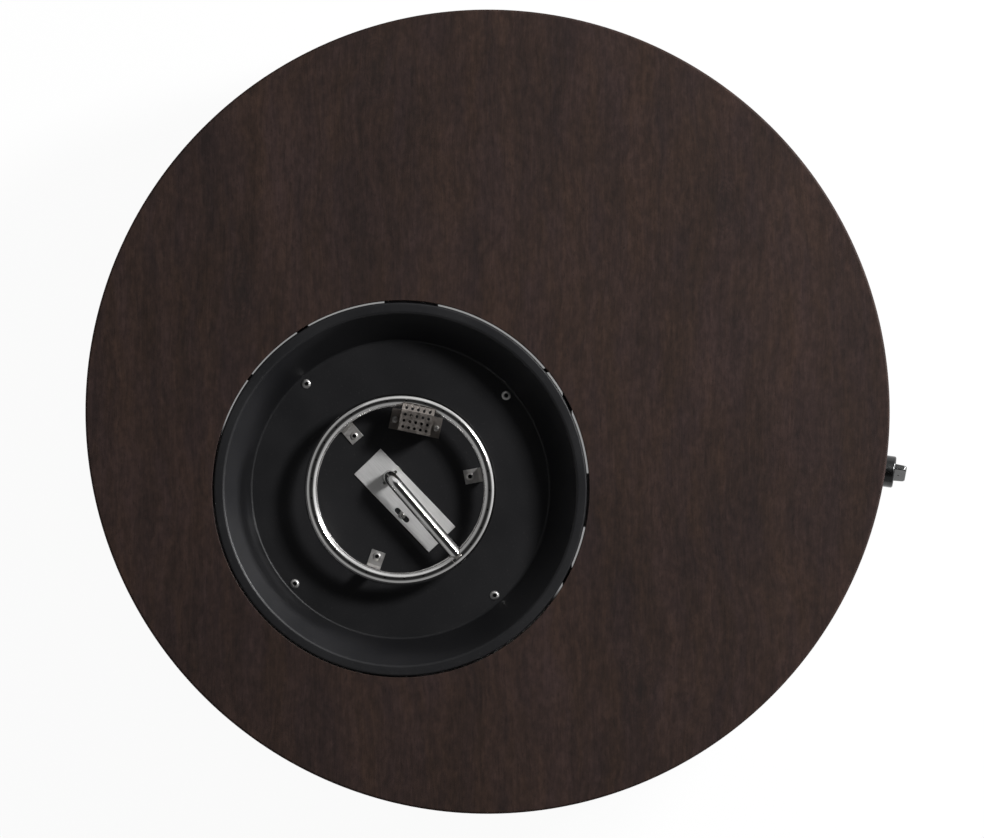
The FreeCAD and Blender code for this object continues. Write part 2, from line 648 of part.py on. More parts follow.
# The mixer's frame: its +Z runs along the mixer, away from the burner's leg.
LEG = f"{BOWL} * {turned('burner_turn')} * {at('0', '-leg_offset', 'mixer_level')}"
MIXER = f"{LEG} * {turned('mixer_bearing')} * {turned('90', '0; 1; 0')}"
# The knob's frame: its +Z runs out of the drum wall, its +Y is up.
KNOB = f"{at('0', '-drum_radius', 'knob_level')} * {turned('90', '1; 0; 0')}"


def in_hood(forward, across):
    """A place in the hood's frame, as formulas in the bowl's frame."""
    heading = "(hood_bearing + hood_skew)"
    x = (f"hood_radius * cos(hood_bearing) + ({forward}) * cos{heading}"
         f" - ({across}) * sin{heading}")
    y = (f"hood_radius * sin(hood_bearing) + ({forward}) * sin{heading}"
         f" + ({across}) * cos{heading}")
    return x, y


# ---------------------------------------------------------------------------
# Wooden top
# ---------------------------------------------------------------------------

tabletop = new_body("tabletop", at(z="underside"))
sketch = new_sketch(tabletop, "XY_Plane")
draw_circles(sketch, [("0", "0", "top_diameter")])
extrude(tabletop, sketch, "top_thickness")
sketch = new_sketch(tabletop, "XY_Plane")
draw_circles(sketch, [("opening_x", "opening_y", "opening_diameter")])
cut(tabletop, sketch, "top_thickness", backwards=True)
dress(tabletop, "Fillet", circle_edges(tabletop, [("top_radius", "top_thickness")]), "top_edge_round")
dress(tabletop, "Fillet", circle_edges(tabletop, [("top_radius", "0")]), "top_lower_round")
opening_edge = circle_edges(tabletop, [("opening_diameter / 2", "top_thickness")])
dress(tabletop, "Fillet", opening_edge, "opening_round")

# Blind pilots for the screws of the drum and of the four bowl brackets.
pilots = []
for number in range(round(value("top_screw_count"))):
    bearing = f"({number} + 0.5) * 360 / top_screw_count"
    pilots.append((f"flange_middle * cos({bearing})", f"flange_middle * sin({bearing})",
                   "wood_screw_shank"))
for quarter in range(4):
    for side in (-1, 1):
        bearing = f"(bowl_bearing + 45 + 90 * {quarter})"
        spread = f"{side} * bracket_screw_spread / 2"
        pilots.append((f"bowl_x + bracket_screw_radius * cos{bearing} - {spread} * sin{bearing}",
                       f"bowl_y + bracket_screw_radius * sin{bearing} + {spread} * cos{bearing}",
                       "wood_screw_shank"))
sketch = new_sketch(tabletop, "XY_Plane")
draw_circles(sketch, pilots)
cut(tabletop, sketch, "pilot_depth", backwards=True)

# ---------------------------------------------------------------------------
# Steel drum: one rolled wall with flanges at both ends
# ---------------------------------------------------------------------------

drum_wall = new_body("drum_wall")
revolve(drum_wall, [
    ("drum_radius - drum_flange", "foot_height"),
    ("drum_radius", "foot_height"),
    ("drum_radius", "underside"),
    ("drum_radius - drum_flange", "underside"),
    ("drum_radius - drum_flange", "underside - drum_sheet"),
    ("drum_inside", "underside - drum_sheet"),
    ("drum_inside", "flange_top"),
    ("drum_radius - drum_flange", "flange_top"),
])
outer_bends = [("drum_radius", "foot_height"), ("drum_radius", "underside")]
dress(drum_wall, "Fillet", circle_edges(drum_wall, outer_bends), "drum_bend + drum_sheet")
inner_bends = [("drum_inside", "flange_top"), ("drum_inside", "underside - drum_sheet")]
dress(drum_wall, "Fillet", circle_edges(drum_wall, inner_bends), "drum_bend")

sketch = new_sketch(drum_wall, "XZ_Plane")
draw_outline(sketch, slot("vent_width", "vent_length", up="vent_level"))
vent = cut(drum_wall, sketch, "2 * top_diameter", midplane=True)
repeat(drum_wall, [vent], "vent_pairs", "180 * (vent_pairs - 1) / vent_pairs")

sketch = new_sketch(drum_wall, "XZ_Plane")
draw_circles(sketch, [("0", "knob_level", "neck_diameter + neck_hole_slack")])
cut(drum_wall, sketch, "top_diameter", backwards=True)

flange_holes = []
for number in range(round(value("top_screw_count"))):
    bearing = f"({number} + 0.5) * 360 / top_screw_count"
    flange_holes.append((f"flange_middle * cos({bearing})", f"flange_middle * sin({bearing})",
                         "wood_screw_shank + hole_slack"))
sketch = new_sketch(drum_wall, "XY_Plane", z="underside - drum_sheet")
draw_circles(sketch, flange_holes)
cut(drum_wall, sketch, "drum_sheet", backwards=True)

base_holes = []
for number in range(round(value("foot_count"))):
    bearing = f"({number} + 0.5) * 360 / foot_count"
    base_holes.append((f"flange_middle * cos({bearing})", f"flange_middle * sin({bearing})",
                       "foot_screw_shank + hole_slack"))
rail_bolt_along = "sqrt(flange_middle ^ 2 - rail_offset ^ 2)"
for along in (-1, 1):
    for across in (-1, 1):
        x = f"{along} * {rail_bolt_along}"
        y = f"{across} * rail_offset"
        base_holes.append((f"{x} * cos(rail_bearing) - {y} * sin(rail_bearing)",
                           f"{x} * sin(rail_bearing) + {y} * cos(rail_bearing)",
                           "rail_bolt_diameter + hole_slack"))
sketch = new_sketch(drum_wall, "XY_Plane", z="foot_height")
draw_circles(sketch, base_holes)
cut(drum_wall, sketch, "drum_sheet", backwards=True)

top_screws = new_body("top_screws", at(z="underside - drum_sheet"),
                      turned("180 / top_screw_count"))
screw = revolve(top_screws, screw_outline("wood_screw_head", "wood_screw_head_height",
                                          "wood_screw_shank", "wood_screw_length"),
                x="flange_middle")
repeat(top_screws, [screw], "top_screw_count")

# ---------------------------------------------------------------------------
# Rubber feet with their screws
# ---------------------------------------------------------------------------

for number in range(round(value("foot_count"))):
    foot = new_body(f"foot_{number + 1}", turned(f"({number} + 0.5) * 360 / foot_count"),
                    at("flange_middle"))
    revolve(foot, [
        ("foot_recess_diameter / 2", "0"),
        ("foot_base_diameter / 2 - foot_edge", "0"),
        ("foot_base_diameter / 2", "foot_edge"),
        ("foot_neck_diameter / 2", "foot_height"),
        ("(foot_screw_shank + hole_slack) / 2", "foot_height"),
        ("(foot_screw_shank + hole_slack) / 2", "foot_recess_depth"),
        ("foot_recess_diameter / 2", "foot_recess_depth"),
    ])

foot_screws = new_body("foot_screws", at(z="foot_recess_depth"), turned("180 / foot_count"))
screw = revolve(foot_screws, screw_outline("foot_screw_head", "foot_screw_head_height",
                                           "foot_screw_shank", "foot_screw_grip"),
                x="flange_middle")
repeat(foot_screws, [screw], "foot_count")

# ---------------------------------------------------------------------------
# Two square-tube rails across the open base
# ---------------------------------------------------------------------------

rail_half = "sqrt((drum_inside - rail_end_gap) ^ 2 - (rail_offset + rail_width / 2) ^ 2)"
for label, side in (("base_rail_front", "-"), ("base_rail_rear", "")):
    rail = new_body(label, turned("rail_bearing"), at("0", f"{side}rail_offset", "flange_top"))
    sketch = new_sketch(rail, "YZ_Plane")
    draw_outline(sketch, rectangle("rail_width", "rail_height", up="rail_height / 2"))
    draw_outline(sketch, rectangle("rail_width - 2 * rail_wall", "rail_height - 2 * rail_wall",
                                   up="rail_height / 2"))
    extrude(rail, sketch, f"2 * {rail_half}", midplane=True)
    sketch = new_sketch(rail, "XY_Plane")
    hole = "rail_bolt_diameter + hole_slack"
    draw_circles(sketch, [(rail_bolt_along, "0", hole), (f"-{rail_bolt_along}", "0", hole)])
    cut(rail, sketch, "rail_height", backwards=True)

rail_bolts = new_body("rail_bolts", turned("rail_bearing"), at(z="flange_top + rail_height"))
bolt_grip = "rail_height + drum_sheet + rail_bolt_stickout"
bolt_outline = [
    ("0", f"-({bolt_grip})"),
    ("rail_bolt_diameter / 2 - rail_bolt_point", f"-({bolt_grip})"),
    ("rail_bolt_diameter / 2", f"-({bolt_grip}) + rail_bolt_point"),
    ("rail_bolt_diameter / 2", "0"),
    ("rail_bolt_head / 2", "0"),
    ("rail_bolt_head / 2", "rail_bolt_head_height * head_rim"),
    ("rail_bolt_head * head_crown / 2", "rail_bolt_head_height"),
    ("0", "rail_bolt_head_height"),
]
bolts = [revolve(rail_bolts, bolt_outline, x=rail_bolt_along, y=f"{side}rail_offset")
         for side in ("-", "")]
repeat(rail_bolts, bolts, "2")

# ---------------------------------------------------------------------------
# Fire bowl: drawn sheet with a flat rim and a turned-down skirt
# ---------------------------------------------------------------------------

fire_bowl = new_body("fire_bowl", BOWL, at(z="rim_top"))
revolve(fire_bowl, [
    ("0", "-bowl_depth - bowl_sheet"),
    ("floor_radius + wall_run - wall_lean * bowl_sheet", "-bowl_depth - bowl_sheet"),
    ("rim_inner + wall_run - wall_lean * bowl_sheet", "-bowl_sheet"),
    ("skirt_inside", "-bowl_sheet"),
    ("skirt_inside", "-skirt_depth"),
    ("rim_radius", "-skirt_depth"),
    ("rim_radius", "0"),
    ("rim_inner", "0"),
    ("floor_radius", "-bowl_depth"),
    ("0", "-bowl_depth"),
])
inside_bends = [
    ("floor_radius", "-bowl_depth"),
    ("rim_inner + wall_run - wall_lean * bowl_sheet", "-bowl_sheet"),
    ("skirt_inside", "-bowl_sheet"),
]
outside_bends = [
    ("floor_radius + wall_run - wall_lean * bowl_sheet", "-bowl_depth - bowl_sheet"),
    ("rim_inner", "0"),
    ("rim_radius", "0"),
]
dress(fire_bowl, "Fillet", circle_edges(fire_bowl, inside_bends), "bowl_bend")
dress(fire_bowl, "Fillet", circle_edges(fire_bowl, outside_bends), "bowl_bend + bowl_sheet")

floor_holes = [("-leg_offset * sin(-burner_turn)", "-leg_offset * cos(burner_turn)", "leg_opening"),
               ("slot_across", "slot_along", "plate_screw_shank + hole_slack")]
for quarter in range(4):
    floor_holes.append((f"rivet_circle / 2 * cos(90 * {quarter})",
                        f"rivet_circle / 2 * sin(90 * {quarter})", "rivet_shank + hole_slack"))
for third in range(3):
    bearing = f"(burner_turn - 90 + 120 * {third})"
    floor_holes.append((f"tab_rivet_radius * cos{bearing}", f"tab_rivet_radius * sin{bearing}",
                        "rivet_shank + hole_slack"))
for side in (-1, 1):
    place = in_hood("-hood_screw_back", f"{side} * hood_screw_spread / 2")
    floor_holes.append((*place, "hood_screw_shank + hole_slack"))
for side, size in ((1, "ceramic_diameter"), (-1, "sensor_diameter")):
    place = in_hood("sensor_forward", f"{side} * sensor_spread / 2")
    floor_holes.append((*place, f"{size} + hole_slack"))
sketch = new_sketch(fire_bowl, "XY_Plane")
draw_circles(sketch, floor_holes)
cut(fire_bowl, sketch, "bowl_depth + 2 * bowl_sheet")

# ---------------------------------------------------------------------------
# Four brackets screwed under the top: the bowl's skirt stands on them
# ---------------------------------------------------------------------------

lip_face = "(skirt_inside - seat_slack)"
for quarter in range(4):
    bracket = new_body(f"bowl_bracket_{quarter + 1}", BOWL, at(z="underside"),
                       turned(f"45 + 90 * {quarter}"))
    revolve(bracket, [
        (f"{lip_face} - bracket_sheet", "-bracket_sheet"),
        ("bracket_reach", "-bracket_sheet"),
        ("bracket_reach", "0"),
        (lip_face, "0"),
        (lip_face, "bracket_lip"),
        (f"{lip_face} - bracket_sheet", "bracket_lip"),
    ], angle="2 * asin(bracket_width / opening_diameter)")
    sketch = new_sketch(bracket, "XY_Plane")
    hole = "wood_screw_shank + hole_slack"
    draw_circles(sketch, [("bracket_screw_radius", "bracket_screw_spread / 2", hole),
                          ("bracket_screw_radius", "-bracket_screw_spread / 2", hole)])
    cut(bracket, sketch, "bracket_sheet")

bracket_screws = new_body("bracket_screws", BOWL, at(z="underside - bracket_sheet"), turned("45"))
screws = [revolve(bracket_screws, screw_outline("wood_screw_head", "wood_screw_head_height",
                                                "wood_screw_shank", "wood_screw_length"),
                  x="bracket_screw_radius", y=f"{side} * bracket_screw_spread / 2")
          for side in (-1, 1)]
repeat(bracket_screws, screws, "4")

# ---------------------------------------------------------------------------
# Heat shield hung from the bowl's floor by four ears and blind rivets
# ---------------------------------------------------------------------------

heat_shield = new_body("heat_shield", BOWL, at(z="shield_level"))
sketch = new_sketch(heat_shield, "XY_Plane")
draw_circles(sketch, [("0", "0", "2 * shield_radius"),
                      ("-leg_offset * sin(-burner_turn)", "-leg_offset * cos(burner_turn)",
                       "shield_opening")])
extrude(heat_shield, sketch, "shield_sheet")
sketch = new_sketch(heat_shield, "XZ_Plane")
ear_top = "(shield_gap + shield_sheet)"
draw_outline(sketch, [
    ("shield_radius - shield_sheet", "0"),
    ("shield_radius", "0"),
    ("shield_radius", f"{ear_top} - shield_sheet"),
    ("shield_ear_reach", f"{ear_top} - shield_sheet"),
    ("shield_ear_reach", ear_top),
    ("shield_radius - shield_sheet", ear_top),
])
ear = extrude(heat_shield, sketch, "shield_ear_width", midplane=True)
sketch = new_sketch(heat_shield, "XY_Plane", z=ear_top)
draw_circles(sketch, [("rivet_circle / 2", "0", "rivet_shank + hole_slack")])
ear_hole = cut(heat_shield, sketch, "2 * shield_sheet")
repeat(heat_shield, [ear, ear_hole], "4")

floor_rivets = new_body("floor_rivets", BOWL_FLOOR)
rivet = revolve(floor_rivets, rivet_outline("rivet_head", "bowl_sheet + shield_sheet"),
                x="rivet_circle / 2")
repeat(floor_rivets, [rivet], "4")

# ---------------------------------------------------------------------------
# Ring burner: a hollow ring of tube with gas ports round its crown
# ---------------------------------------------------------------------------

ring_burner = new_body("ring_burner", BURNER)
sketch = new_sketch(ring_burner, "XZ_Plane")
draw_circles(sketch, [("ring_radius", "ring_lift", "ring_tube"),
                      ("ring_radius", "ring_lift", "ring_tube - 2 * tube_wall")])
ring = ring_burner.newObject("PartDesign::Revolution", "ring_turned")
ring.Profile = sketch
ring.ReferenceAxis = (sketch, ["V_Axis"])
ring.Angle = 360
doc.recompute()
# The ports are spread evenly, and one place is left free over the feed tube's joint.
sketch = new_sketch(ring_burner, "XY_Plane", z="ring_lift")
first_port = "(90 + port_pitch + port_shift)"
draw_circles(sketch, [(f"ring_radius * cos{first_port}", f"ring_radius * sin{first_port}",
                       "port_diameter")])
port = cut(ring_burner, sketch, "ring_tube", backwards=True)
repeat(ring_burner, [port], "port_count", angle="port_pitch * (port_count - 1)")
sketch = new_sketch(ring_burner, "XZ_Plane", y="ring_radius")
draw_circles(sketch, [("0", "ring_lift", "feed_tube_size - 2 * tube_wall")])
cut(ring_burner, sketch, "ring_tube")

# Feed tube: up through the bowl's floor, round a tight bend and across to the ring.
feed_tube = new_body("feed_tube", BURNER)
path = new_sketch(feed_tube, "YZ_Plane")
leg_foot = "-mixer_drop + elbow_socket_height - elbow_socket_depth"
leg = path.addGeometry(Part.LineSegment(
    FreeCAD.Vector(value("-leg_offset"), value(leg_foot), 0),
    FreeCAD.Vector(value("-leg_offset"), value("ring_lift - feed_bend"), 0)))
bend_centre = FreeCAD.Vector(value("feed_bend - leg_offset"), value("ring_lift - feed_bend"), 0)
bend = path.addGeometry(Part.ArcOfCircle(
    Part.Circle(bend_centre, FreeCAD.Vector(0, 0, 1), value("feed_bend")), math.pi / 2, math.pi))
run = path.addGeometry(Part.LineSegment(
    FreeCAD.Vector(value("feed_bend - leg_offset"), value("ring_lift"), 0),
    FreeCAD.Vector(value("ring_radius"), value("ring_lift"), 0)))
path.addConstraint(Sketcher.Constraint("Coincident", leg, 2, bend, 2))
path.addConstraint(Sketcher.Constraint("Coincident", bend, 1, run, 1))
bind(path, "DistanceX", leg, 1, "-leg_offset")
bind(path, "DistanceY", leg, 1, leg_foot)
bind(path, "DistanceX", leg, 2, "-leg_offset")
bind(path, "DistanceX", bend, 3, "feed_bend - leg_offset")
bind(path, "DistanceY", bend, 3, "ring_lift - feed_bend")
bind(path, "DistanceY", leg, 2, "ring_lift - feed_bend")
bind(path, "DistanceX", run, 1, "feed_bend - leg_offset")
bind(path, "DistanceX", run, 2, "ring_radius")
bind(path, "DistanceY", run, 2, "ring_lift")
section = new_sketch(feed_tube, "XY_Plane", "0", "-leg_offset", leg_foot)
draw_circles(section, [("0", "0", "feed_tube_size"), ("0", "0", "feed_tube_size - 2 * tube_wall")])
pipe = feed_tube.newObject("PartDesign::AdditivePipe", "feed_tube_pipe")
pipe.Profile = section
pipe.Spine = (path, [])
doc.recompute()
sketch = new_sketch(feed_tube, "XZ_Plane")
draw_circles(sketch, [("ring_radius", "ring_lift", "ring_tube + 2 * weld_gap")])
before = volume(feed_tube)
saddle = feed_tube.newObject("PartDesign::Groove", "feed_tube_saddle")
saddle.Profile = sketch
saddle.ReferenceAxis = (sketch, ["V_Axis"])
saddle.Angle = 360
if volume(feed_tube) > before - 1:
    raise RuntimeError("the saddle of the feed tube removes nothing")

# Three bent tabs carry the ring, each riveted to the floor and welded under the tube.
tab_rise = "ring_lift - ring_tube / 2 - tab_weld_gap"
for third in range(3):
    tab = new_body(f"ring_tab_{third + 1}", BURNER, turned(f"-90 + 120 * {third}"))
    sketch = new_sketch(tab, "XZ_Plane")
    draw_outline(sketch, [
        ("tab_inner_radius", "0"),
        ("tab_bend_radius + tab_sheet", "0"),
        ("tab_top_radius + tab_sheet", tab_rise),
        ("tab_top_radius", tab_rise),
        ("tab_bend_radius", "tab_sheet"),
        ("tab_inner_radius", "tab_sheet"),
    ])
    extrude(tab, sketch, "tab_width", midplane=True)
    sketch = new_sketch(tab, "XY_Plane")
    draw_circles(sketch, [("tab_rivet_radius", "0", "rivet_shank + hole_slack")])
    cut(tab, sketch, "tab_sheet", backwards=True)

tab_rivets = new_body("tab_rivets", BURNER, at(z="tab_sheet"), turned("-90"))
rivet = revolve(tab_rivets, rivet_outline("tab_rivet_head", "bowl_sheet + tab_sheet"),
                x="tab_rivet_radius")
repeat(tab_rivets, [rivet], "3")

# ---------------------------------------------------------------------------
# Cover plate over the leg's opening, held by one screw in a slot
# ---------------------------------------------------------------------------

PLATE = f"{BOWL_FLOOR} * {at('plate_across', 'plate_along')} * {turned('plate_turn')}"
cover_plate = new_body("cover_plate", PLATE)
sketch = new_sketch(cover_plate, "XY_Plane")
draw_outline(sketch, rectangle("plate_length", "plate_width"))
extrude(cover_plate, sketch, "plate_sheet")


def on_plate(across, along):
    """A place in the bowl's frame, as formulas in the plate's frame."""
    x = f"({across}) - plate_across"
    y = f"({along}) - plate_along"
    return (f"({x}) * cos(plate_turn) + ({y}) * sin(plate_turn)",
            f"({y}) * cos(plate_turn) - ({x}) * sin(plate_turn)")


sketch = new_sketch(cover_plate, "XY_Plane")
leg_place = on_plate("-leg_offset * sin(-burner_turn)", "-leg_offset * cos(burner_turn)")
draw_circles(sketch, [(*leg_place, "feed_tube_size + 2 * plate_leg_slack")])
cut(cover_plate, sketch, "plate_sheet", backwards=True)
sketch = new_sketch(cover_plate, "XY_Plane")
draw_outline(sketch, slot("plate_notch_width", "(2 * plate_notch_reach)", *leg_place))
cut(cover_plate, sketch, "plate_sheet", backwards=True)
slot_x, slot_y = on_plate("slot_across", "slot_along")
left = f"{slot_x} - (plate_slot_length - plate_slot_width) / 2"
right = f"{slot_x} + (plate_slot_length - plate_slot_width) / 2"
low = f"{slot_y} - plate_slot_width / 2"
high = f"{slot_y} + plate_slot_width / 2"
sketch = new_sketch(cover_plate, "XY_Plane")
draw_outline(sketch, [(left, low), (right, low, ("x", right)), (right, high), (left, high, ("x", left))])
cut(cover_plate, sketch, "plate_sheet", backwards=True)

plate_screw = new_body("plate_screw", BOWL_FLOOR, at("slot_across", "slot_along", "plate_sheet"),
                       turned("180", "1; 0; 0"))
revolve(plate_screw, screw_outline("plate_screw_head", "plate_screw_head_height",
                                   "plate_screw_shank", "plate_screw_grip"))

# ---------------------------------------------------------------------------
# Igniter hood: a folded, perforated box, open towards the ring
# ---------------------------------------------------------------------------

igniter_hood = new_body("igniter_hood", HOOD)
sketch = new_sketch(igniter_hood, "XZ_Plane")
front = "-hood_depth / 2"
back = "hood_depth / 2"
hood_lip = "hood_height - hood_slope_drop"
draw_outline(sketch, [
    (front, "0"),
    (back, "0"),
    (back, f"{hood_lip} - hood_sheet"),
    (f"{back} + hood_slope", f"{hood_lip} - hood_sheet"),
    (f"{back} + hood_slope", hood_lip),
    (back, "hood_height"),
    (front, "hood_height"),
])
extrude(igniter_hood, sketch, "hood_width", midplane=True)
sketch = new_sketch(igniter_hood, "XZ_Plane")
inner_front = f"({front} + hood_sheet)"
slope_fall = "(hood_slope_drop / hood_slope)"
slope_sheet = f"hood_sheet * sqrt(1 + {slope_fall} ^ 2)"
draw_outline(sketch, [
    (inner_front, "-hood_sheet"),
    (f"{back} + hood_slope + hood_sheet", "-hood_sheet"),
    (f"{back} + hood_slope + hood_sheet", f"{hood_lip} - {slope_sheet} - {slope_fall} * hood_sheet"),
    (f"{back} - ({slope_sheet} - hood_sheet) / {slope_fall}", "hood_height - hood_sheet"),
    (inner_front, "hood_height - hood_sheet"),
])
cut(igniter_hood, sketch, "hood_width - 2 * hood_sheet", midplane=True)
flange_width = "(hood_base_width - hood_width) / 2 + hood_sheet"
sketch = new_sketch(igniter_hood, "XY_Plane")
for side in ("", "-"):
    flange_place = f"{side}((hood_base_width - {flange_width}) / 2)"
    draw_outline(sketch, rectangle("hood_depth", flange_width, up=flange_place))
extrude(igniter_hood, sketch, "hood_sheet")

top_holes = [(f"{row} * hood_pitch_deep", f"{column} * hood_pitch_across", "hood_mesh")
             for row in (-1, 0, 1) for column in (-2, -1, 0, 1, 2)]
sketch = new_sketch(igniter_hood, "XY_Plane", z="hood_height")
draw_circles(sketch, top_holes)
cut(igniter_hood, sketch, "2 * hood_sheet")
slope_holes = [(f"{column} * hood_pitch_across", "hood_height - hood_slope_drop / 2", "hood_mesh")
               for column in (-2, -1, 0, 1, 2)]
sketch = new_sketch(igniter_hood, "YZ_Plane", x="hood_depth / 2")
draw_circles(sketch, slope_holes)
cut(igniter_hood, sketch, "2 * hood_slope", backwards=True)
sketch = new_sketch(igniter_hood, "XY_Plane")
hole = "hood_screw_shank + hole_slack"
draw_circles(sketch, [("-hood_screw_back", "hood_screw_spread / 2", hole),
                      ("-hood_screw_back", "-hood_screw_spread / 2", hole)])
cut(igniter_hood, sketch, "hood_sheet", backwards=True)

hood_screws = new_body("hood_screws", HOOD, at("-hood_screw_back", "0", "hood_sheet"),
                       turned("180", "1; 0; 0"))
screw = revolve(hood_screws, screw_outline("hood_screw_head", "hood_screw_head_height",
                                           "hood_screw_shank", "hood_screw_grip"),
                y="hood_screw_spread / 2")
repeat(hood_screws, [screw], "2")

# ---------------------------------------------------------------------------
# Electrode, its boot, and the flame sensor, side by side under the hood
# ---------------------------------------------------------------------------

ELECTRODE = f"{HOOD} * {at('sensor_forward', 'sensor_spread / 2')}"
electrode_ceramic = new_body("electrode_ceramic", ELECTRODE)
revolve(electrode_ceramic, [
    ("0", "-ceramic_below"),
    ("ceramic_diameter / 2", "-ceramic_below"),
    ("ceramic_diameter / 2", "0"),
    ("ceramic_collar / 2", "0"),
    ("ceramic_collar / 2", "ceramic_collar_height"),
    ("ceramic_diameter / 2", "ceramic_collar_height"),
    ("ceramic_diameter / 2", "ceramic_above - ceramic_taper"),
    ("ceramic_diameter / 2 - ceramic_taper_depth", "ceramic_above"),
    ("0", "ceramic_above"),
])

electrode_rod = new_body("electrode_rod", ELECTRODE)
path = new_sketch(electrode_rod, "XZ_Plane")
rise_end = "ceramic_above + rod_rise - rod_bend"
rise = path.addGeometry(Part.LineSegment(
    FreeCAD.Vector(0, value("ceramic_above"), 0), FreeCAD.Vector(0, value(rise_end), 0)))
bend_centre = FreeCAD.Vector(value("rod_bend"), value(rise_end), 0)
bend = path.addGeometry(Part.ArcOfCircle(
    Part.Circle(bend_centre, FreeCAD.Vector(0, 0, 1), value("rod_bend")), math.pi / 2, math.pi))
run = path.addGeometry(Part.LineSegment(
    FreeCAD.Vector(value("rod_bend"), value("ceramic_above + rod_rise"), 0),
    FreeCAD.Vector(value("rod_reach"), value("ceramic_above + rod_rise"), 0)))
path.addConstraint(Sketcher.Constraint("Coincident", rise, 2, bend, 2))
path.addConstraint(Sketcher.Constraint("Coincident", bend, 1, run, 1))
bind(path, "DistanceX", rise, 1, "0")
bind(path, "DistanceY", rise, 1, "ceramic_above")
bind(path, "DistanceX", rise, 2, "0")
bind(path, "DistanceY", rise, 2, rise_end)
bind(path, "DistanceX", bend, 3, "rod_bend")
bind(path, "DistanceY", bend, 3, rise_end)
bind(path, "DistanceX", run, 1, "rod_bend")
bind(path, "DistanceX", run, 2, "rod_reach")
bind(path, "DistanceY", run, 2, "ceramic_above + rod_rise")
section = new_sketch(electrode_rod, "XY_Plane", z="ceramic_above")
draw_circles(section, [("0", "0", "rod_diameter")])
pipe = electrode_rod.newObject("PartDesign::AdditivePipe", "electrode_rod_pipe")
pipe.Profile = section
pipe.Spine = (path, [])
doc.recompute()

SENSOR = f"{HOOD} * {at('sensor_forward', '-sensor_spread / 2')}"
flame_sensor = new_body("flame_sensor", SENSOR)
revolve(flame_sensor, [
    ("0", "-sensor_below"),
    ("sensor_diameter / 2", "-sensor_below"),
    ("sensor_diameter / 2", "0"),
    ("sensor_collar / 2", "0"),
    ("sensor_collar / 2", "sensor_collar_height"),
    ("sensor_diameter / 2", "sensor_collar_height"),
    ("sensor_diameter / 2", "sensor_above - sensor_tip_length - sensor_step"),
    ("sensor_tip_diameter / 2", "sensor_above - sensor_tip_length"),
    ("sensor_tip_diameter / 2", "sensor_above - sensor_tip_diameter / 2", ("x", "0")),
    ("0", "sensor_above"),
])

# ---------------------------------------------------------------------------
# Mixer: elbow, venturi tube with air windows, air shutter and gas jet
# ---------------------------------------------------------------------------

mixer_elbow = new_body("mixer_elbow", LEG, turned("mixer_bearing"))
revolve(mixer_elbow, [
    ("0", "-elbow_size / 2", ("x", "0")),
    ("elbow_size / 2", "0"),
    ("elbow_size / 2", "elbow_socket_height"),
    ("0", "elbow_socket_height"),
])
sketch = new_sketch(mixer_elbow, "YZ_Plane")
draw_circles(sketch, [("0", "0", "elbow_size")])
extrude(mixer_elbow, sketch, "elbow_spigot")
sketch = new_sketch(mixer_elbow, "YZ_Plane", x="mixer_start")
draw_circles(sketch, [("0", "0", "mixer_tube_size + 2 * seat_slack")])
cut(mixer_elbow, sketch, "elbow_spigot", backwards=True)
sketch = new_sketch(mixer_elbow, "YZ_Plane")
draw_circles(sketch, [("0", "0", "feed_tube_size - 2 * tube_wall")])
cut(mixer_elbow, sketch, "elbow_spigot", backwards=True)
sketch = new_sketch(mixer_elbow, "XY_Plane", z="elbow_socket_height")
draw_circles(sketch, [("0", "0", "feed_tube_size + 2 * seat_slack")])
cut(mixer_elbow, sketch, "elbow_socket_depth")
sketch = new_sketch(mixer_elbow, "XY_Plane", z="elbow_socket_height")
draw_circles(sketch, [("0", "0", "feed_tube_size - 2 * tube_wall")])
cut(mixer_elbow, sketch, "elbow_socket_height")

mixer_tube = new_body("mixer_tube", MIXER)
throat = "mixer_tube_size / 2"
revolve(mixer_tube, [
    (f"{throat} - mixer_wall", "mixer_start"),
    (throat, "mixer_start"),
    (throat, "mixer_straight"),
    ("mouth_radius", "mixer_mouth_start"),
    ("mouth_radius + mixer_bead_height", "mixer_mouth_start"),
    ("mouth_radius + mixer_bead_height", "bead_end"),
    ("mouth_radius", "bead_end"),
    ("mouth_radius", "mixer_length - mixer_end_wall"),
    ("mouth_radius + mixer_bead_height", "mixer_length - mixer_end_wall"),
    ("mouth_radius + mixer_bead_height", "mixer_length"),
    ("(jet_nose + hole_slack) / 2", "mixer_length"),
    ("(jet_nose + hole_slack) / 2", "mixer_length - mixer_end_wall"),
    ("mouth_radius - mixer_wall", "mixer_length - mixer_end_wall"),
    ("mouth_radius - mixer_wall", "mixer_mouth_start"),
    (f"{throat} - mixer_wall", "mixer_straight"),
])
sketch = new_sketch(mixer_tube, "XZ_Plane")
draw_outline(sketch, rectangle("air_window_width", "air_window_length", up="window_middle"))
window = cut(mixer_tube, sketch, "mixer_mouth", backwards=True)
repeat(mixer_tube, [window], "air_window_count")

air_shutter = new_body("air_shutter", MIXER)
shutter_inside = "mouth_radius + running_slack"
revolve(air_shutter, [
    (shutter_inside, "shutter_start"),
    (f"{shutter_inside} + shutter_wall", "shutter_start"),
    (f"{shutter_inside} + shutter_wall", "shutter_end"),
    (shutter_inside, "shutter_end"),
])
sketch = new_sketch(air_shutter, "XZ_Plane")
draw_outline(sketch, rectangle("air_window_width", "air_window_length", up="window_middle"))
window = cut(air_shutter, sketch, "mixer_mouth", backwards=True)
repeat(air_shutter, [window], "air_window_count")

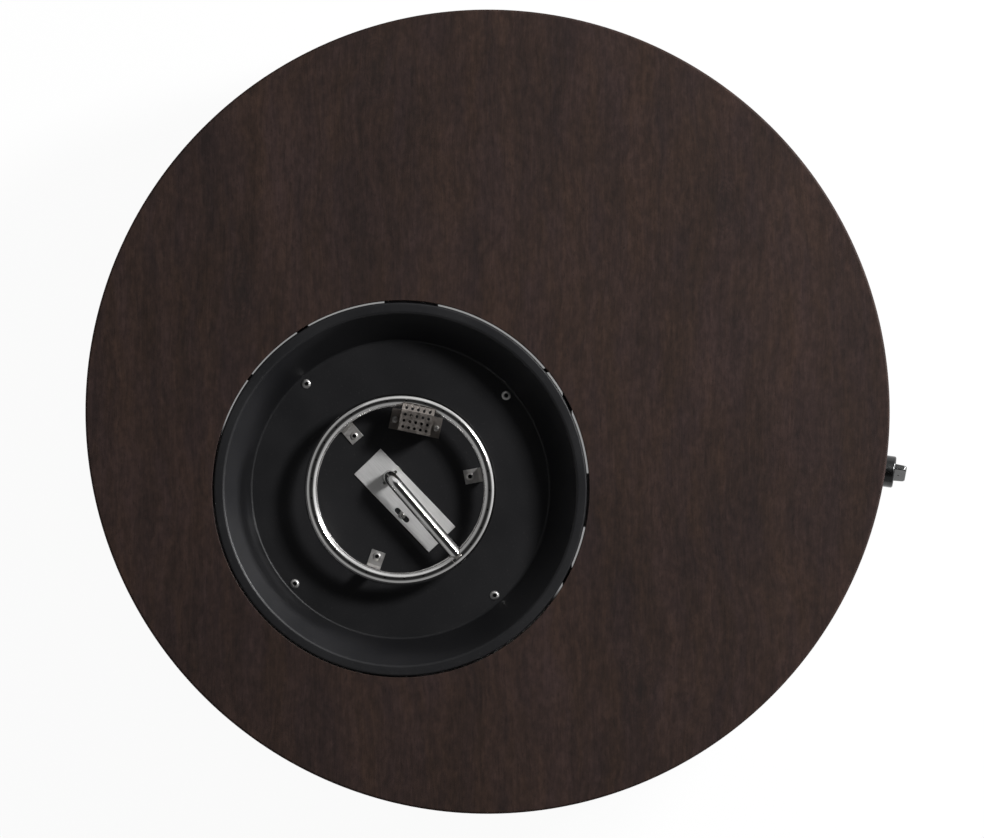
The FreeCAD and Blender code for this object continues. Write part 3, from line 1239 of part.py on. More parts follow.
gas_jet = new_body("gas_jet", MIXER, at(z="mixer_length"))
sketch = new_sketch(gas_jet, "XY_Plane")
draw_outline(sketch, hexagon("jet_hex"))
extrude(gas_jet, sketch, "jet_hex_length")
sketch = new_sketch(gas_jet, "XY_Plane")
draw_circles(sketch, [("0", "0", "jet_nose")])
extrude(gas_jet, sketch, "mixer_end_wall + jet_nose_length", backwards=True)
sketch = new_sketch(gas_jet, "XY_Plane")
draw_circles(sketch, [("0", "0", "jet_orifice")])
cut(gas_jet, sketch, "mixer_end_wall + jet_nose_length")

jet_elbow = new_body("jet_elbow", MIXER, at(z="jet_block_middle"))
sketch = new_sketch(jet_elbow, "XY_Plane")
draw_outline(sketch, rectangle("jet_block", "jet_block"))
extrude(jet_elbow, sketch, "jet_block", midplane=True)
uprights = [f"Edge{number}" for number, edge in enumerate(jet_elbow.Tip.Shape.Edges, start=1)
            if abs(edge.tangentAt(edge.FirstParameter).z) > 0.9]
dress(jet_elbow, "Chamfer", uprights, "jet_block_bevel")
sketch = new_sketch(jet_elbow, "XZ_Plane", y="jet_block / 2")
draw_circles(sketch, [("0", "0", "jet_boss")])
extrude(jet_elbow, sketch, "jet_boss_reach - jet_block / 2", backwards=True)

# ---------------------------------------------------------------------------
# Gas valve, clamped to the drum wall by the nut on its neck
# ---------------------------------------------------------------------------

valve_body = new_body("valve_body", KNOB)
sketch = new_sketch(valve_body, "XY_Plane", z="valve_back")
draw_outline(sketch, rectangle("valve_width", "valve_tall"))
extrude(valve_body, sketch, "seat_flange_back - valve_back")
corners = [f"Edge{number}" for number, edge in enumerate(valve_body.Tip.Shape.Edges, start=1)
           if abs(edge.tangentAt(edge.FirstParameter).z) > 0.9]
dress(valve_body, "Fillet", corners, "valve_round")
revolve(valve_body, [
    ("0", "valve_back - outlet_boss_length"),
    ("outlet_boss / 2", "valve_back - outlet_boss_length"),
    ("outlet_boss / 2", "seat_flange_back - seat_flange_sink"),
    ("seat_flange_diameter / 2", "seat_flange_back - seat_flange_sink"),
    ("seat_flange_diameter / 2", "seat_flange_front"),
    ("neck_diameter / 2", "seat_flange_front"),
    ("neck_diameter / 2", "neck_front"),
    ("0", "neck_front"),
])
sketch = new_sketch(valve_body, "XY_Plane", z="neck_front")
draw_circles(sketch, [("0", "0", "neck_bore")])
cut(valve_body, sketch, "neck_front - chamber_back")
sketch = new_sketch(valve_body, "XY_Plane", z="chamber_back")
draw_circles(sketch, [("0", "0", "stem_diameter + 2 * running_slack")])
cut(valve_body, sketch, "chamber_back - stem_bore_back")
sketch = new_sketch(valve_body, "XY_Plane", z="valve_back")
draw_circles(sketch, [("-sensor_boss_across", "-sensor_boss_down", "sensor_boss")])
extrude(valve_body, sketch, "sensor_boss_length", backwards=True)

inlet_fitting = new_body("inlet_fitting", KNOB,
                         at("0", "-valve_tall / 2", "valve_back + inlet_inset"),
                         turned("90", "1; 0; 0"))
sketch = new_sketch(inlet_fitting, "XY_Plane")
draw_outline(sketch, hexagon("inlet_hex"))
extrude(inlet_fitting, sketch, "inlet_hex_length")
sketch = new_sketch(inlet_fitting, "XY_Plane", z="inlet_hex_length")
draw_circles(sketch, [("0", "0", "inlet_thread")])
extrude(inlet_fitting, sketch, "inlet_thread_length")
sketch = new_sketch(inlet_fitting, "XY_Plane", z="inlet_hex_length + inlet_thread_length")
draw_circles(sketch, [("0", "0", "inlet_bore")])
cut(inlet_fitting, sketch, "inlet_thread_length")

knob_bezel = new_body("knob_bezel", KNOB)
revolve(knob_bezel, [
    ("(neck_diameter + neck_hole_slack) / 2", "0"),
    ("bezel_diameter / 2", "0"),
    ("bezel_diameter / 2", "bezel_rim"),
    ("bezel_diameter / 2 - bezel_bevel", "bezel_thickness"),
    ("(neck_diameter + neck_hole_slack) / 2", "bezel_thickness"),
])

neck_nut = new_body("neck_nut", KNOB, at(z="bezel_thickness"))
sketch = new_sketch(neck_nut, "XY_Plane")
draw_outline(sketch, hexagon("neck_nut"))
draw_circles(sketch, [("0", "0", "neck_diameter + 2 * seat_slack")])
extrude(neck_nut, sketch, "neck_nut_thickness")

neck_cap = new_body("neck_cap", KNOB)
stem_way = "stem_diameter / 2 + running_slack"
revolve(neck_cap, [
    (stem_way, "cap_back"),
    ("neck_bore / 2 - seat_slack", "cap_back"),
    ("neck_bore / 2 - seat_slack", "neck_front"),
    ("neck_diameter / 2", "neck_front"),
    ("neck_diameter / 2", "neck_front + cap_thickness"),
    (stem_way, "neck_front + cap_thickness"),
])

push_collar = new_body("push_collar", KNOB)
revolve(push_collar, [
    (stem_way, "collar_back"),
    ("neck_bore / 2 - collar_slack", "collar_back"),
    ("neck_bore / 2 - collar_slack", "collar_back + collar_thickness"),
    (stem_way, "collar_back + collar_thickness"),
])

# Return spring between the chamber's back and the push collar.
spring_length = value("collar_back - chamber_back") - value("spring_wire") - 2 * value("seat_slack")
spring_radius = (value("neck_bore") / 2 + value("stem_diameter") / 2) / 2
coil = Part.makeHelix(spring_length / value("spring_turns"), spring_length, spring_radius)
wire_circle = Part.Wire(Part.makeCircle(value("spring_wire") / 2, FreeCAD.Vector(spring_radius, 0, 0),
                                        FreeCAD.Vector(0, 1, 0)))
return_spring = doc.addObject("Part::Feature", "return_spring")
return_spring.Shape = Part.Wire(coil.Edges).makePipeShell([wire_circle], True, True)
spring_start = "chamber_back + spring_wire / 2 + seat_slack"
return_spring.setExpression("Placement", in_table(KNOB, at(z=spring_start)))

valve_stem = new_body("valve_stem", KNOB, turned("-knob_lean"))
revolve(valve_stem, [
    ("0", "stem_back"),
    ("stem_diameter / 2", "stem_back"),
    ("stem_diameter / 2", "shoulder_back"),
    ("shoulder_diameter / 2", "shoulder_back"),
    ("shoulder_diameter / 2", "shoulder_front"),
    ("stem_diameter / 2", "shoulder_front"),
    ("stem_diameter / 2", "stem_front"),
    ("0", "stem_front"),
])
sketch = new_sketch(valve_stem, "XY_Plane", z="stem_flat_start")
draw_outline(sketch, rectangle("stem_diameter", "stem_diameter",
                               up="stem_diameter - stem_flat"))
cut(valve_stem, sketch, "stem_front - stem_flat_start", backwards=True)

# ---------------------------------------------------------------------------
# Control knob: a hollow skirt with a tapered bar grip
# ---------------------------------------------------------------------------

control_knob = new_body("control_knob", KNOB, turned("-knob_lean"))
skirt_radius = "knob_skirt / 2"
revolve(control_knob, [
    (f"{skirt_radius} - knob_skirt_wall", "knob_skirt_back"),
    (skirt_radius, "knob_skirt_back"),
    (skirt_radius, "knob_skirt_front"),
    ("0", "knob_skirt_front"),
    ("0", "knob_cavity_front"),
    (f"{skirt_radius} - knob_skirt_wall", "knob_cavity_front"),
])
dress(control_knob, "Fillet", circle_edges(control_knob, [(skirt_radius, "knob_skirt_front")]),
      "knob_skirt_round")
base = new_sketch(control_knob, "XY_Plane", z="knob_skirt_front - grip_root")
draw_outline(base, rectangle("grip_base_width", "grip_base_tall"))
end = new_sketch(control_knob, "XY_Plane", z="knob_front")
draw_outline(end, rectangle("grip_end_width", "grip_end_tall"))
grip = control_knob.newObject("PartDesign::AdditiveLoft", "control_knob_grip")
grip.Profile = base
grip.Sections = [end]
doc.recompute()


def end_edges(along_width):
    """The edges of the grip's end that run along its thickness, or along its length."""
    names = []
    for number, edge in enumerate(control_knob.Tip.Shape.Edges, start=1):
        on_end = abs(edge.CenterOfMass.z - value("knob_front")) < 0.01
        across = abs(edge.tangentAt(edge.FirstParameter).x) > 0.9
        if on_end and across == along_width:
            names.append(f"Edge{number}")
    return names


dress(control_knob, "Fillet", end_edges(True), "grip_corner")
dress(control_knob, "Fillet", end_edges(False), "grip_round")
sketch = new_sketch(control_knob, "XY_Plane")
draw_circles(sketch, [("0", "0", "stem_diameter + 2 * seat_slack")])
cut(control_knob, sketch, "stem_front + seat_slack", backwards=True)
sketch = new_sketch(control_knob, "XY_Plane", z="knob_cavity_front")
key_low = "stem_diameter / 2 - stem_flat + seat_slack"
draw_outline(sketch, rectangle("stem_diameter", f"stem_diameter - ({key_low})",
                               up=f"(stem_diameter + {key_low}) / 2"))
extrude(control_knob, sketch, "stem_front - knob_cavity_front")

# ---------------------------------------------------------------------------
# Piezo igniter beside the valve, and the boot on the electrode
# ---------------------------------------------------------------------------

piezo_igniter = new_body("piezo_igniter", KNOB)
sketch = new_sketch(piezo_igniter, "XY_Plane", z="igniter_back")
draw_outline(sketch, rectangle("igniter_width", "igniter_tall",
                               across="(valve_width + igniter_width) / 2"))
extrude(piezo_igniter, sketch, "igniter_front - igniter_back")
corners = [f"Edge{number}" for number, edge in enumerate(piezo_igniter.Tip.Shape.Edges, start=1)
           if abs(edge.tangentAt(edge.FirstParameter).z) > 0.9
           and edge.CenterOfMass.x > value("valve_width") / 2 + 1]
dress(piezo_igniter, "Fillet", corners, "igniter_round")

boot_bottom = "-ceramic_below - boot_end_wall"
boot_top = "-bowl_sheet - boot_gap"
BOOT = f"{ELECTRODE} * {turned('boot_heading')}"
electrode_boot = new_body("electrode_boot", BOOT)
revolve(electrode_boot, [
    ("0", boot_bottom),
    ("boot_diameter / 2", boot_bottom),
    ("boot_diameter / 2", boot_top),
    ("ceramic_diameter / 2 + seat_slack", boot_top),
    ("ceramic_diameter / 2 + seat_slack", "-ceramic_below"),
    ("0", "-ceramic_below"),
])
arm_start = "(boot_diameter / 2 - boot_arm_root)"
arm_level = f"({boot_top} - boot_arm_diameter / 2 - boot_arm_gap)"
sketch = new_sketch(electrode_boot, "YZ_Plane", x=arm_start)
draw_circles(sketch, [("0", arm_level, "boot_arm_diameter")])
extrude(electrode_boot, sketch, f"boot_arm_reach - {arm_start}")


# ---------------------------------------------------------------------------
# Gas pipe with its nuts, ignition lead and flame sensor lead
# ---------------------------------------------------------------------------

def routed(label, size, corners, bend=None):
    """A round pipe or lead through corners, each rounded by a bend or as the room allows."""
    edges = []
    reached = corners[0]
    for before, corner, after in zip(corners, corners[1:], corners[2:]):
        arriving = (corner - before).normalize()
        leaving = (after - corner).normalize()
        half_turn = arriving.getAngle(leaving) / 2
        setback = 0.45 * min((corner - before).Length, (after - corner).Length)
        if bend:
            setback = min(setback, value(bend) * math.tan(half_turn))
        radius = setback / math.tan(half_turn)
        inwards = (leaving - arriving).normalize()
        middle = corner + inwards * (radius / math.cos(half_turn) - radius)
        first = corner - arriving * setback
        last = corner + leaving * setback
        edges.append(Part.LineSegment(reached, first).toShape())
        edges.append(Part.Arc(first, middle, last).toShape())
        reached = last
    edges.append(Part.LineSegment(reached, corners[-1]).toShape())
    profile = Part.makeCircle(value(size) / 2, corners[0], corners[1] - corners[0])
    part = doc.addObject("Part::Feature", label)
    part.Shape = Part.Wire(edges).makePipeShell([Part.Wire(profile)], True, False)
    return part


outlet_end = "valve_back - outlet_boss_length"
pipe_level = "mixer_level - gas_pipe_level"
gas_pipe = routed("gas_pipe", "gas_pipe_size", [
    point_in(KNOB, z=outlet_end),
    point_in(KNOB, z=f"{outlet_end} - 37"),
    point_in(BOWL, "-176.3", "205.4", pipe_level),
    point_in(BOWL, "67.2", "-248.9", pipe_level),
    point_in(MIXER, "0", "jet_boss_reach + 56", "jet_block_middle"),
    point_in(MIXER, "0", "jet_boss_reach", "jet_block_middle"),
], bend="gas_pipe_bend")

lead_level = "floor_top - lead_drop"
igniter_across = "(valve_width + igniter_width) / 2"
ignition_lead = routed("ignition_lead", "ignition_lead_size", [
    point_in(BOOT, "boot_arm_reach", "0", arm_level),
    point_in(BOOT, "boot_arm_reach + 14", "0", arm_level),
    point_in(BOWL, "-136", "-22", lead_level),
    point_in(BOWL, "-202.9", "5", lead_level),
    point_in(KNOB, "70", "-22", "-274"),
    point_in(KNOB, "60", "-10", "-174"),
    point_in(KNOB, igniter_across, "0", "igniter_back - 34"),
    point_in(KNOB, igniter_across, "0", "igniter_back"),
])

union_end = "valve_back - sensor_boss_length"
sensor_lead = routed("sensor_lead", "sensor_lead_size", [
    point_in(SENSOR, z="-sensor_below"),
    point_in(SENSOR, z="-lead_drop"),
    point_in(BOWL, "-132.1", "152", lead_level),
    point_in(KNOB, "-75", "-18", "-134"),
    point_in(KNOB, "-sensor_boss_across", "-sensor_boss_down", f"{union_end} - 28"),
    point_in(KNOB, "-sensor_boss_across", "-sensor_boss_down", union_end),
])

# The two hexagon nuts are alike: one at the valve's outlet, one at the jet's elbow.
AT_VALVE = in_table(KNOB, at(z=outlet_end), turned("180", "1; 0; 0"))
AT_JET = in_table(MIXER, at("0", "jet_boss_reach", "jet_block_middle"), turned("-90", "1; 0; 0"))
rim = [FreeCAD.Vector(value(x), value(y), 0) for x, y in hexagon("pipe_nut")]
nut_length = FreeCAD.Vector(0, 0, value("pipe_nut_length"))
nut = Part.Face(Part.makePolygon(rim + rim[:1])).extrude(nut_length)
nut = nut.cut(Part.makeCylinder(value("gas_pipe_size / 2 + seat_slack"), value("pipe_nut_length")))
nuts = []
for frame in (AT_VALVE, AT_JET):
    placed = nut.copy()
    placed.Placement = dims.evalExpression(frame)
    nuts.append(placed)
pipe_nuts = doc.addObject("Part::Feature", "pipe_nuts")
pipe_nuts.Shape = Part.makeCompound(nuts)

# ---------------------------------------------------------------------------
# Checks and export
# ---------------------------------------------------------------------------

doc.recompute()
for item in doc.Objects:
    if "Invalid" in item.State or "Error" in item.State:
        raise RuntimeError(f"{item.Label} did not recompute: {item.State}")

os.makedirs("parts", exist_ok=True)
pieces = [item for item in doc.Objects if item.TypeId in ("PartDesign::Body", "Part::Feature")]
for piece in pieces:
    if piece.Shape.isNull() or not piece.Shape.isValid():
        raise RuntimeError(f"{piece.Label} has no valid shape")
    piece.Shape.exportStep(os.path.join("parts", f"{piece.Label}.step"))
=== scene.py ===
import json
import math

import bmesh
import bpy
from mathutils import Matrix, Vector

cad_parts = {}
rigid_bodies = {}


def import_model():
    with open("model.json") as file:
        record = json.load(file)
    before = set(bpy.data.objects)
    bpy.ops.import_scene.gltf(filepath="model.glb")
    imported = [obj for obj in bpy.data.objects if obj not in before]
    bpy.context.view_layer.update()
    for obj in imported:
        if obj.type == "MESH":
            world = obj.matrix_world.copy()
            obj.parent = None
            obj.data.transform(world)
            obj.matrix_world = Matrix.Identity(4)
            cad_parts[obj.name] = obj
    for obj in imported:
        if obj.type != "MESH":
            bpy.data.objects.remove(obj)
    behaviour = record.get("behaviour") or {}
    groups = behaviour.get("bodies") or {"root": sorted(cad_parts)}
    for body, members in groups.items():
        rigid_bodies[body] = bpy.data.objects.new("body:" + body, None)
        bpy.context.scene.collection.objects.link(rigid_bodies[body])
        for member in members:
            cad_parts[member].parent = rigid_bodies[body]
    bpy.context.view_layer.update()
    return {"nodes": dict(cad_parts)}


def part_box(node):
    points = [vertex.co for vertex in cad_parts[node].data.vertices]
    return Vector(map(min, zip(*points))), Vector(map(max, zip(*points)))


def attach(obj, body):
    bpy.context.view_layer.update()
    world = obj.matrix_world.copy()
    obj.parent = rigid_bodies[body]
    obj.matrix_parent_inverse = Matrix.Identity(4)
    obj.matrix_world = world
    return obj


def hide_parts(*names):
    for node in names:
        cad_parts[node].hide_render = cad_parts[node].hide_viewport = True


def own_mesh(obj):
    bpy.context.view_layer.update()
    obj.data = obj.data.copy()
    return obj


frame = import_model()

# ---------------------------------------------------------------------------
# Camera
# It stands far above the table and a touch to the lower left, so that the round top
# stays round, and it is turned so that the wood's grain runs up the frame.
# ---------------------------------------------------------------------------

image_width = 984
metres_per_pixel = 0.0010738
lens = 1000
sensor = 36
view_turn = math.radians(-81.6)
aim_right = 4.4
aim_down = 7.4
stand_left = 88
stand_down = 264

table_low, table_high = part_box("tabletop")
table_middle = (table_low + table_high) / 2
right = Vector((math.cos(view_turn), math.sin(view_turn), 0))
up = Vector((-math.sin(view_turn), math.cos(view_turn), 0))
distance = image_width * metres_per_pixel * lens / sensor
aim = Vector((table_middle.x, table_middle.y, table_high.z))
aim += (right * aim_right - up * aim_down) * metres_per_pixel
spot = aim - (right * stand_left + up * stand_down) * metres_per_pixel + Vector((0, 0, distance))
backwards = (spot - aim).normalized()
sideways = up.cross(backwards).normalized()
upwards = backwards.cross(sideways)
pointing = Matrix((sideways, upwards, backwards)).transposed().to_euler()
bpy.ops.object.camera_add(location=spot, rotation=pointing)
camera = bpy.context.object
camera.data.lens = lens
camera.data.sensor_width = sensor
camera.data.clip_end = 100
bpy.context.scene.camera = camera
bpy.context.scene.view_settings.view_transform = "Standard"

# ---------------------------------------------------------------------------
# Studio
# A wide sheet of pale paper, a lamp high on the right with another low down beside it, a weak broad one from
# behind, and a room that is pale round about and dark overhead. The paper glows white except under the drum,
# where a painted band of light glows faintly under part of the gap round the bowl.
# ---------------------------------------------------------------------------


def add(tree, kind, settings=None, **sockets):
    """Add a node. A socket is given by name, or as i0, i1 by its number."""
    node = tree.nodes.new(kind)
    for key, setting in (settings or {}).items():
        setattr(node, key, setting)
    for key, source in sockets.items():
        place = int(key[1:]) if key[0] == "i" and key[1:].isdigit() else key.replace("_", " ")
        if isinstance(source, bpy.types.NodeSocket):
            tree.links.new(source, node.inputs[place])
        else:
            node.inputs[place].default_value = source
    return node


def maths(tree, operation, first, second=0.0):
    """One sum on two values."""
    return add(tree, "ShaderNodeMath", {"operation": operation}, i0=first, i1=second).outputs[0]


def ramp(tree, source, *stops):
    """A colour ramp with its stops given as place and grey or colour."""
    node = tree.nodes.new("ShaderNodeValToRGB")
    elements = node.color_ramp.elements
    while len(elements) < len(stops):
        elements.new(0.5)
    for element, (place, colour) in zip(elements, stops):
        element.position = place
        if not isinstance(colour, tuple):
            colour = (colour, colour, colour)
        element.color = (*colour, 1)
    tree.links.new(source, node.inputs["Fac"])
    return node.outputs["Color"]


def softened(tree, source, low, high):
    """A soft step from 0 to 1 between two values."""
    step = add(tree, "ShaderNodeMapRange", {"interpolation_type": "SMOOTHSTEP"}, Value=source)
    step.inputs["From Min"].default_value = low
    step.inputs["From Max"].default_value = high
    return step.outputs["Result"]


def pale_rays(tree):
    """1 for rays that see the backdrop itself: from the eye, in metal and through glass."""
    path = add(tree, "ShaderNodeLightPath")
    seen = maths(tree, "MAXIMUM", path.outputs["Is Camera Ray"], path.outputs["Is Glossy Ray"])
    return maths(tree, "MAXIMUM", seen, path.outputs["Is Transmission Ray"])


paper_radius = 40
paper_colour = (0.86, 0.86, 0.86, 1)
paper_roughness = 0.9
paper_glow = 0.95
shade_across = 0.4455
shade_up = 0.895
shade_start = 0.1389
shade_blur = 0.01
drum_radius = 0.424
# Painted light: under the drum the paper glows at this share in a band under the gap round the bowl.
gap_radius = 0.2017
gap_reach = 0.014
painted_gap_light = 0.3

bowl_low, bowl_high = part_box("fire_bowl")
bowl_middle = (bowl_low + bowl_high) / 2
bpy.ops.object.select_all(action="DESELECT")
bpy.ops.mesh.primitive_circle_add(vertices=96, radius=paper_radius, fill_type="NGON")
paper = bpy.context.object
paper.name = "studio_paper"
sheet_of_paper = bpy.data.materials.new("studio_paper")
sheet_of_paper.use_nodes = True
tree = sheet_of_paper.node_tree
place = add(tree, "ShaderNodeTexCoord").outputs["Object"]
from_middle = add(tree, "ShaderNodeVectorMath", {"operation": "SUBTRACT"},
                  i0=place, i1=(table_middle.x, table_middle.y, 0)).outputs[0]
from_bowl = add(tree, "ShaderNodeVectorMath", {"operation": "SUBTRACT"},
                i0=place, i1=(bowl_middle.x, bowl_middle.y, 0)).outputs[0]
# Under the drum the paper does not glow, so its real shade shows. A painted band of light glows under the
# gap round the bowl, only on the upper right side of a straight line.
towards = right * shade_across + up * shade_up
along_shade = add(tree, "ShaderNodeVectorMath", {"operation": "DOT_PRODUCT"},
                  i0=from_middle, i1=towards).outputs["Value"]
far_out = add(tree, "ShaderNodeVectorMath", {"operation": "LENGTH"}, i0=from_middle).outputs["Value"]
painted_light_half = softened(tree, along_shade, -shade_start - shade_blur, -shade_start + shade_blur)
clear_of_drum = softened(tree, far_out, drum_radius - shade_blur, drum_radius)
bowl_distance = add(tree, "ShaderNodeVectorMath", {"operation": "LENGTH"}, i0=from_bowl).outputs["Value"]
gap_distance = maths(tree, "ABSOLUTE", maths(tree, "SUBTRACT", bowl_distance, gap_radius))
off_gap = softened(tree, gap_distance, gap_reach, gap_reach + shade_blur)
painted_gap_band = maths(tree, "MULTIPLY", maths(tree, "SUBTRACT", painted_gap_light, off_gap), painted_light_half)
glow_mask = maths(tree, "MAXIMUM", painted_gap_band, clear_of_drum)
share = maths(tree, "MULTIPLY", maths(tree, "MULTIPLY", pale_rays(tree), glow_mask), paper_glow)
paper_skin = tree.nodes["Principled BSDF"]
paper_skin.inputs["Base Color"].default_value = paper_colour
paper_skin.inputs["Roughness"].default_value = paper_roughness
glow = add(tree, "ShaderNodeEmission", Color=(1, 1, 1, 1), Strength=1.0)
mix = add(tree, "ShaderNodeMixShader", Fac=share, i1=paper_skin.outputs["BSDF"], i2=glow.outputs["Emission"])
tree.links.new(mix.outputs["Shader"], tree.nodes["Material Output"].inputs["Surface"])
paper.data.materials.append(sheet_of_paper)

bright_bearing = math.radians(-52)
horizon_band = 0.12
world = bpy.data.worlds.new("studio_sky")
bpy.context.scene.world = world
world.use_nodes = True
tree = world.node_tree
heading = add(tree, "ShaderNodeTexCoord").outputs["Generated"]
towards_lamp = add(tree, "ShaderNodeVectorMath", {"operation": "DOT_PRODUCT"}, i0=heading,
                   i1=(math.cos(bright_bearing), math.sin(bright_bearing), 0)).outputs["Value"]
walls = ramp(tree, towards_lamp, (0.0, 0.30), (0.45, 0.40), (0.80, 0.75), (1.0, 0.85))
height = add(tree, "ShaderNodeSeparateXYZ", Vector=heading).outputs["Z"]
ceiling = ramp(tree, height, (0.0, 1.0), (0.72, 1.0), (0.88, 0.15), (1.0, 0.05))
sky = add(tree, "ShaderNodeMix", {"data_type": "RGBA", "blend_type": "MULTIPLY"},
          i0=1.0, i6=walls, i7=ceiling).outputs[2]
low_down = maths(tree, "SUBTRACT", 1.0, softened(tree, height, horizon_band / 2, horizon_band))
pale = maths(tree, "MULTIPLY", pale_rays(tree), low_down)
sky_seen = add(tree, "ShaderNodeMix", {"data_type": "RGBA"}, i0=pale, i6=sky, i7=(1, 1, 1, 1))
tree.links.new(sky_seen.outputs[2], tree.nodes["Background"].inputs["Color"])

for name, bearing, height_angle, reach, side, power in (
    ("key_lamp", -50, 50, 2.9, 0.5, 74),
    ("low_lamp", -58, 13, 3.5, 0.5, 170),
    ("fill_lamp", 12, 50, 4.0, 2.5, 6),
):
    flat = math.cos(math.radians(height_angle))
    direction = Vector((
        flat * math.cos(math.radians(bearing)),
        flat * math.sin(math.radians(bearing)),
        math.sin(math.radians(height_angle)),
    ))
    turn = direction.to_track_quat("Z", "Y").to_euler()
    bpy.ops.object.light_add(type="AREA", location=direction * reach, rotation=turn)
    lamp = bpy.context.object
    lamp.name = name
    lamp.data.shape = "SQUARE"
    lamp.data.size = side
    lamp.data.energy = power

# ---------------------------------------------------------------------------
# Wooden top
# A round slab of stained wood, 22 mm thick, turned to shape with a rounded edge.
# A round opening is cut off centre, and its edge is only just broken.
# ---------------------------------------------------------------------------


def only(piece):
    """Select one piece alone and make it the active one."""
    bpy.ops.object.select_all(action="DESELECT")
    piece.select_set(True)
    bpy.context.view_layer.objects.active = piece


def lathe(name, rings, steps, middle):
    """A round shell: a circle pulled up ring by ring, each given by radius and height."""
    radius, height = rings[0]
    bpy.ops.object.select_all(action="DESELECT")
    bpy.ops.mesh.primitive_circle_add(
        vertices=steps, radius=radius, location=(middle[0], middle[1], height))
    piece = bpy.context.object
    piece.name = piece.data.name = name
    bpy.ops.object.transform_apply(location=True, rotation=True, scale=True)
    bpy.ops.object.mode_set(mode="EDIT")
    bpy.ops.mesh.select_all(action="SELECT")
    for next_radius, next_height in rings[1:]:
        rise = {"value": (0, 0, next_height - height)}
        bpy.ops.mesh.extrude_edges_move(TRANSFORM_OT_translate=rise)
        if next_radius == 0:
            bpy.ops.mesh.merge(type="CENTER")
        elif next_radius != radius:
            scale = next_radius / radius
            bpy.ops.transform.resize(
                value=(scale, scale, 1), center_override=(middle[0], middle[1], next_height))
        radius, height = next_radius, next_height
    bpy.ops.mesh.select_all(action="SELECT")
    bpy.ops.mesh.remove_doubles(threshold=1e-6)
    bpy.ops.mesh.normals_make_consistent(inside=False)
    bpy.ops.object.mode_set(mode="OBJECT")
    return piece


def round_edges(piece, here, width, steps):
    """Round the edges that have both ends at a place."""
    only(piece)
    bpy.ops.object.mode_set(mode="EDIT")
    bpy.ops.mesh.select_mode(type="EDGE")
    bpy.ops.mesh.select_all(action="DESELECT")
    mesh = bmesh.from_edit_mesh(piece.data)
    for edge in mesh.edges:
        edge.select_set(all(here(corner.co) for corner in edge.verts))
    bmesh.update_edit_mesh(piece.data)
    bpy.ops.mesh.bevel(offset=width, segments=steps, affect="EDGES")
    bpy.ops.object.mode_set(mode="OBJECT")


def cut_out(piece, cutter):
    """Cut one solid out of another, and throw the cutter away."""
    only(piece)
    modifier = piece.modifiers.new("cut", "BOOLEAN")
    modifier.object = cutter
    modifier.operation = "DIFFERENCE"
    modifier.solver = "EXACT"
    bpy.ops.object.modifier_apply(modifier=modifier.name)
    bpy.data.objects.remove(cutter)


def smooth(piece, sharp=30):
    """Shade smooth, apart from edges sharper than an angle in degrees, and keep flats flat."""
    only(piece)
    bpy.ops.object.shade_smooth_by_angle(angle=math.radians(sharp))
    flats = piece.modifiers.new("flats", "WEIGHTED_NORMAL")
    flats.keep_sharp = True
    bpy.ops.object.modifier_apply(modifier=flats.name)


def new_finish(name, roughness, metallic=0.0, specular=0.5):
    """An empty finish with its plain values set on the shader itself."""
    material = bpy.data.materials.new(name)
    material.use_nodes = True
    shader = material.node_tree.nodes["Principled BSDF"]
    shader.inputs["Roughness"].default_value = roughness
    shader.inputs["Metallic"].default_value = metallic
    shader.inputs["Specular IOR Level"].default_value = specular
    return material, material.node_tree, shader


def noise(tree, place, scale, detail, roughness=0.5):
    """Soft noise from 0 to 1."""
    return add(tree, "ShaderNodeTexNoise", Vector=place, Scale=scale, Detail=detail,
               Roughness=roughness).outputs["Fac"]


def stretched(tree, scale, turn=0.0, centre=(0, 0, 0)):
    """Object coordinates about a centre, turned about Z and scaled along each axis."""
    place = add(tree, "ShaderNodeTexCoord").outputs["Object"]
    moved = add(tree, "ShaderNodeVectorMath", {"operation": "SUBTRACT"}, i0=place, i1=centre)
    mapping = add(tree, "ShaderNodeMapping", Vector=moved.outputs[0])
    mapping.inputs["Rotation"].default_value = (0, 0, turn)
    scaled = add(tree, "ShaderNodeVectorMath", {"operation": "MULTIPLY"},
                 i0=mapping.outputs[0], i1=scale)
    return scaled.outputs[0]


def blended(tree, share, first, second, blend="MIX"):
    """One colour over another, by a share from 0 to 1."""
    return add(tree, "ShaderNodeMix", {"data_type": "RGBA", "blend_type": blend},
               i0=share, i6=first, i7=second).outputs[2]


def relief(tree, shader, height, strength, depth):
    """Bump a finish by a height from 0 to 1 over a depth in metres."""
    bump = add(tree, "ShaderNodeBump", Height=height, Strength=strength, Distance=depth)
    tree.links.new(bump.outputs["Normal"], shader.inputs["Normal"])


def dress(piece, body, slot, material, *nodes):
    """Give a piece its finish and its body, and hide the nodes it stands for. The slot is not used."""
    piece.data.materials.clear()
    piece.data.materials.append(material)
    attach(piece, body)
    if nodes:
        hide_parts(*nodes)


top_radius = (table_high.x - table_low.x) / 2
top_round = 0.0025
lower_round = 0.001
middle_hole = 0.001
round_steps = 288
near = 1e-4
opening_radius = 0.2025
opening_round = 0.0008
opening_shift = 0.0005
off_centre = bowl_middle - table_middle
opening = table_middle + off_centre * (1 - opening_shift / off_centre.xy.length)

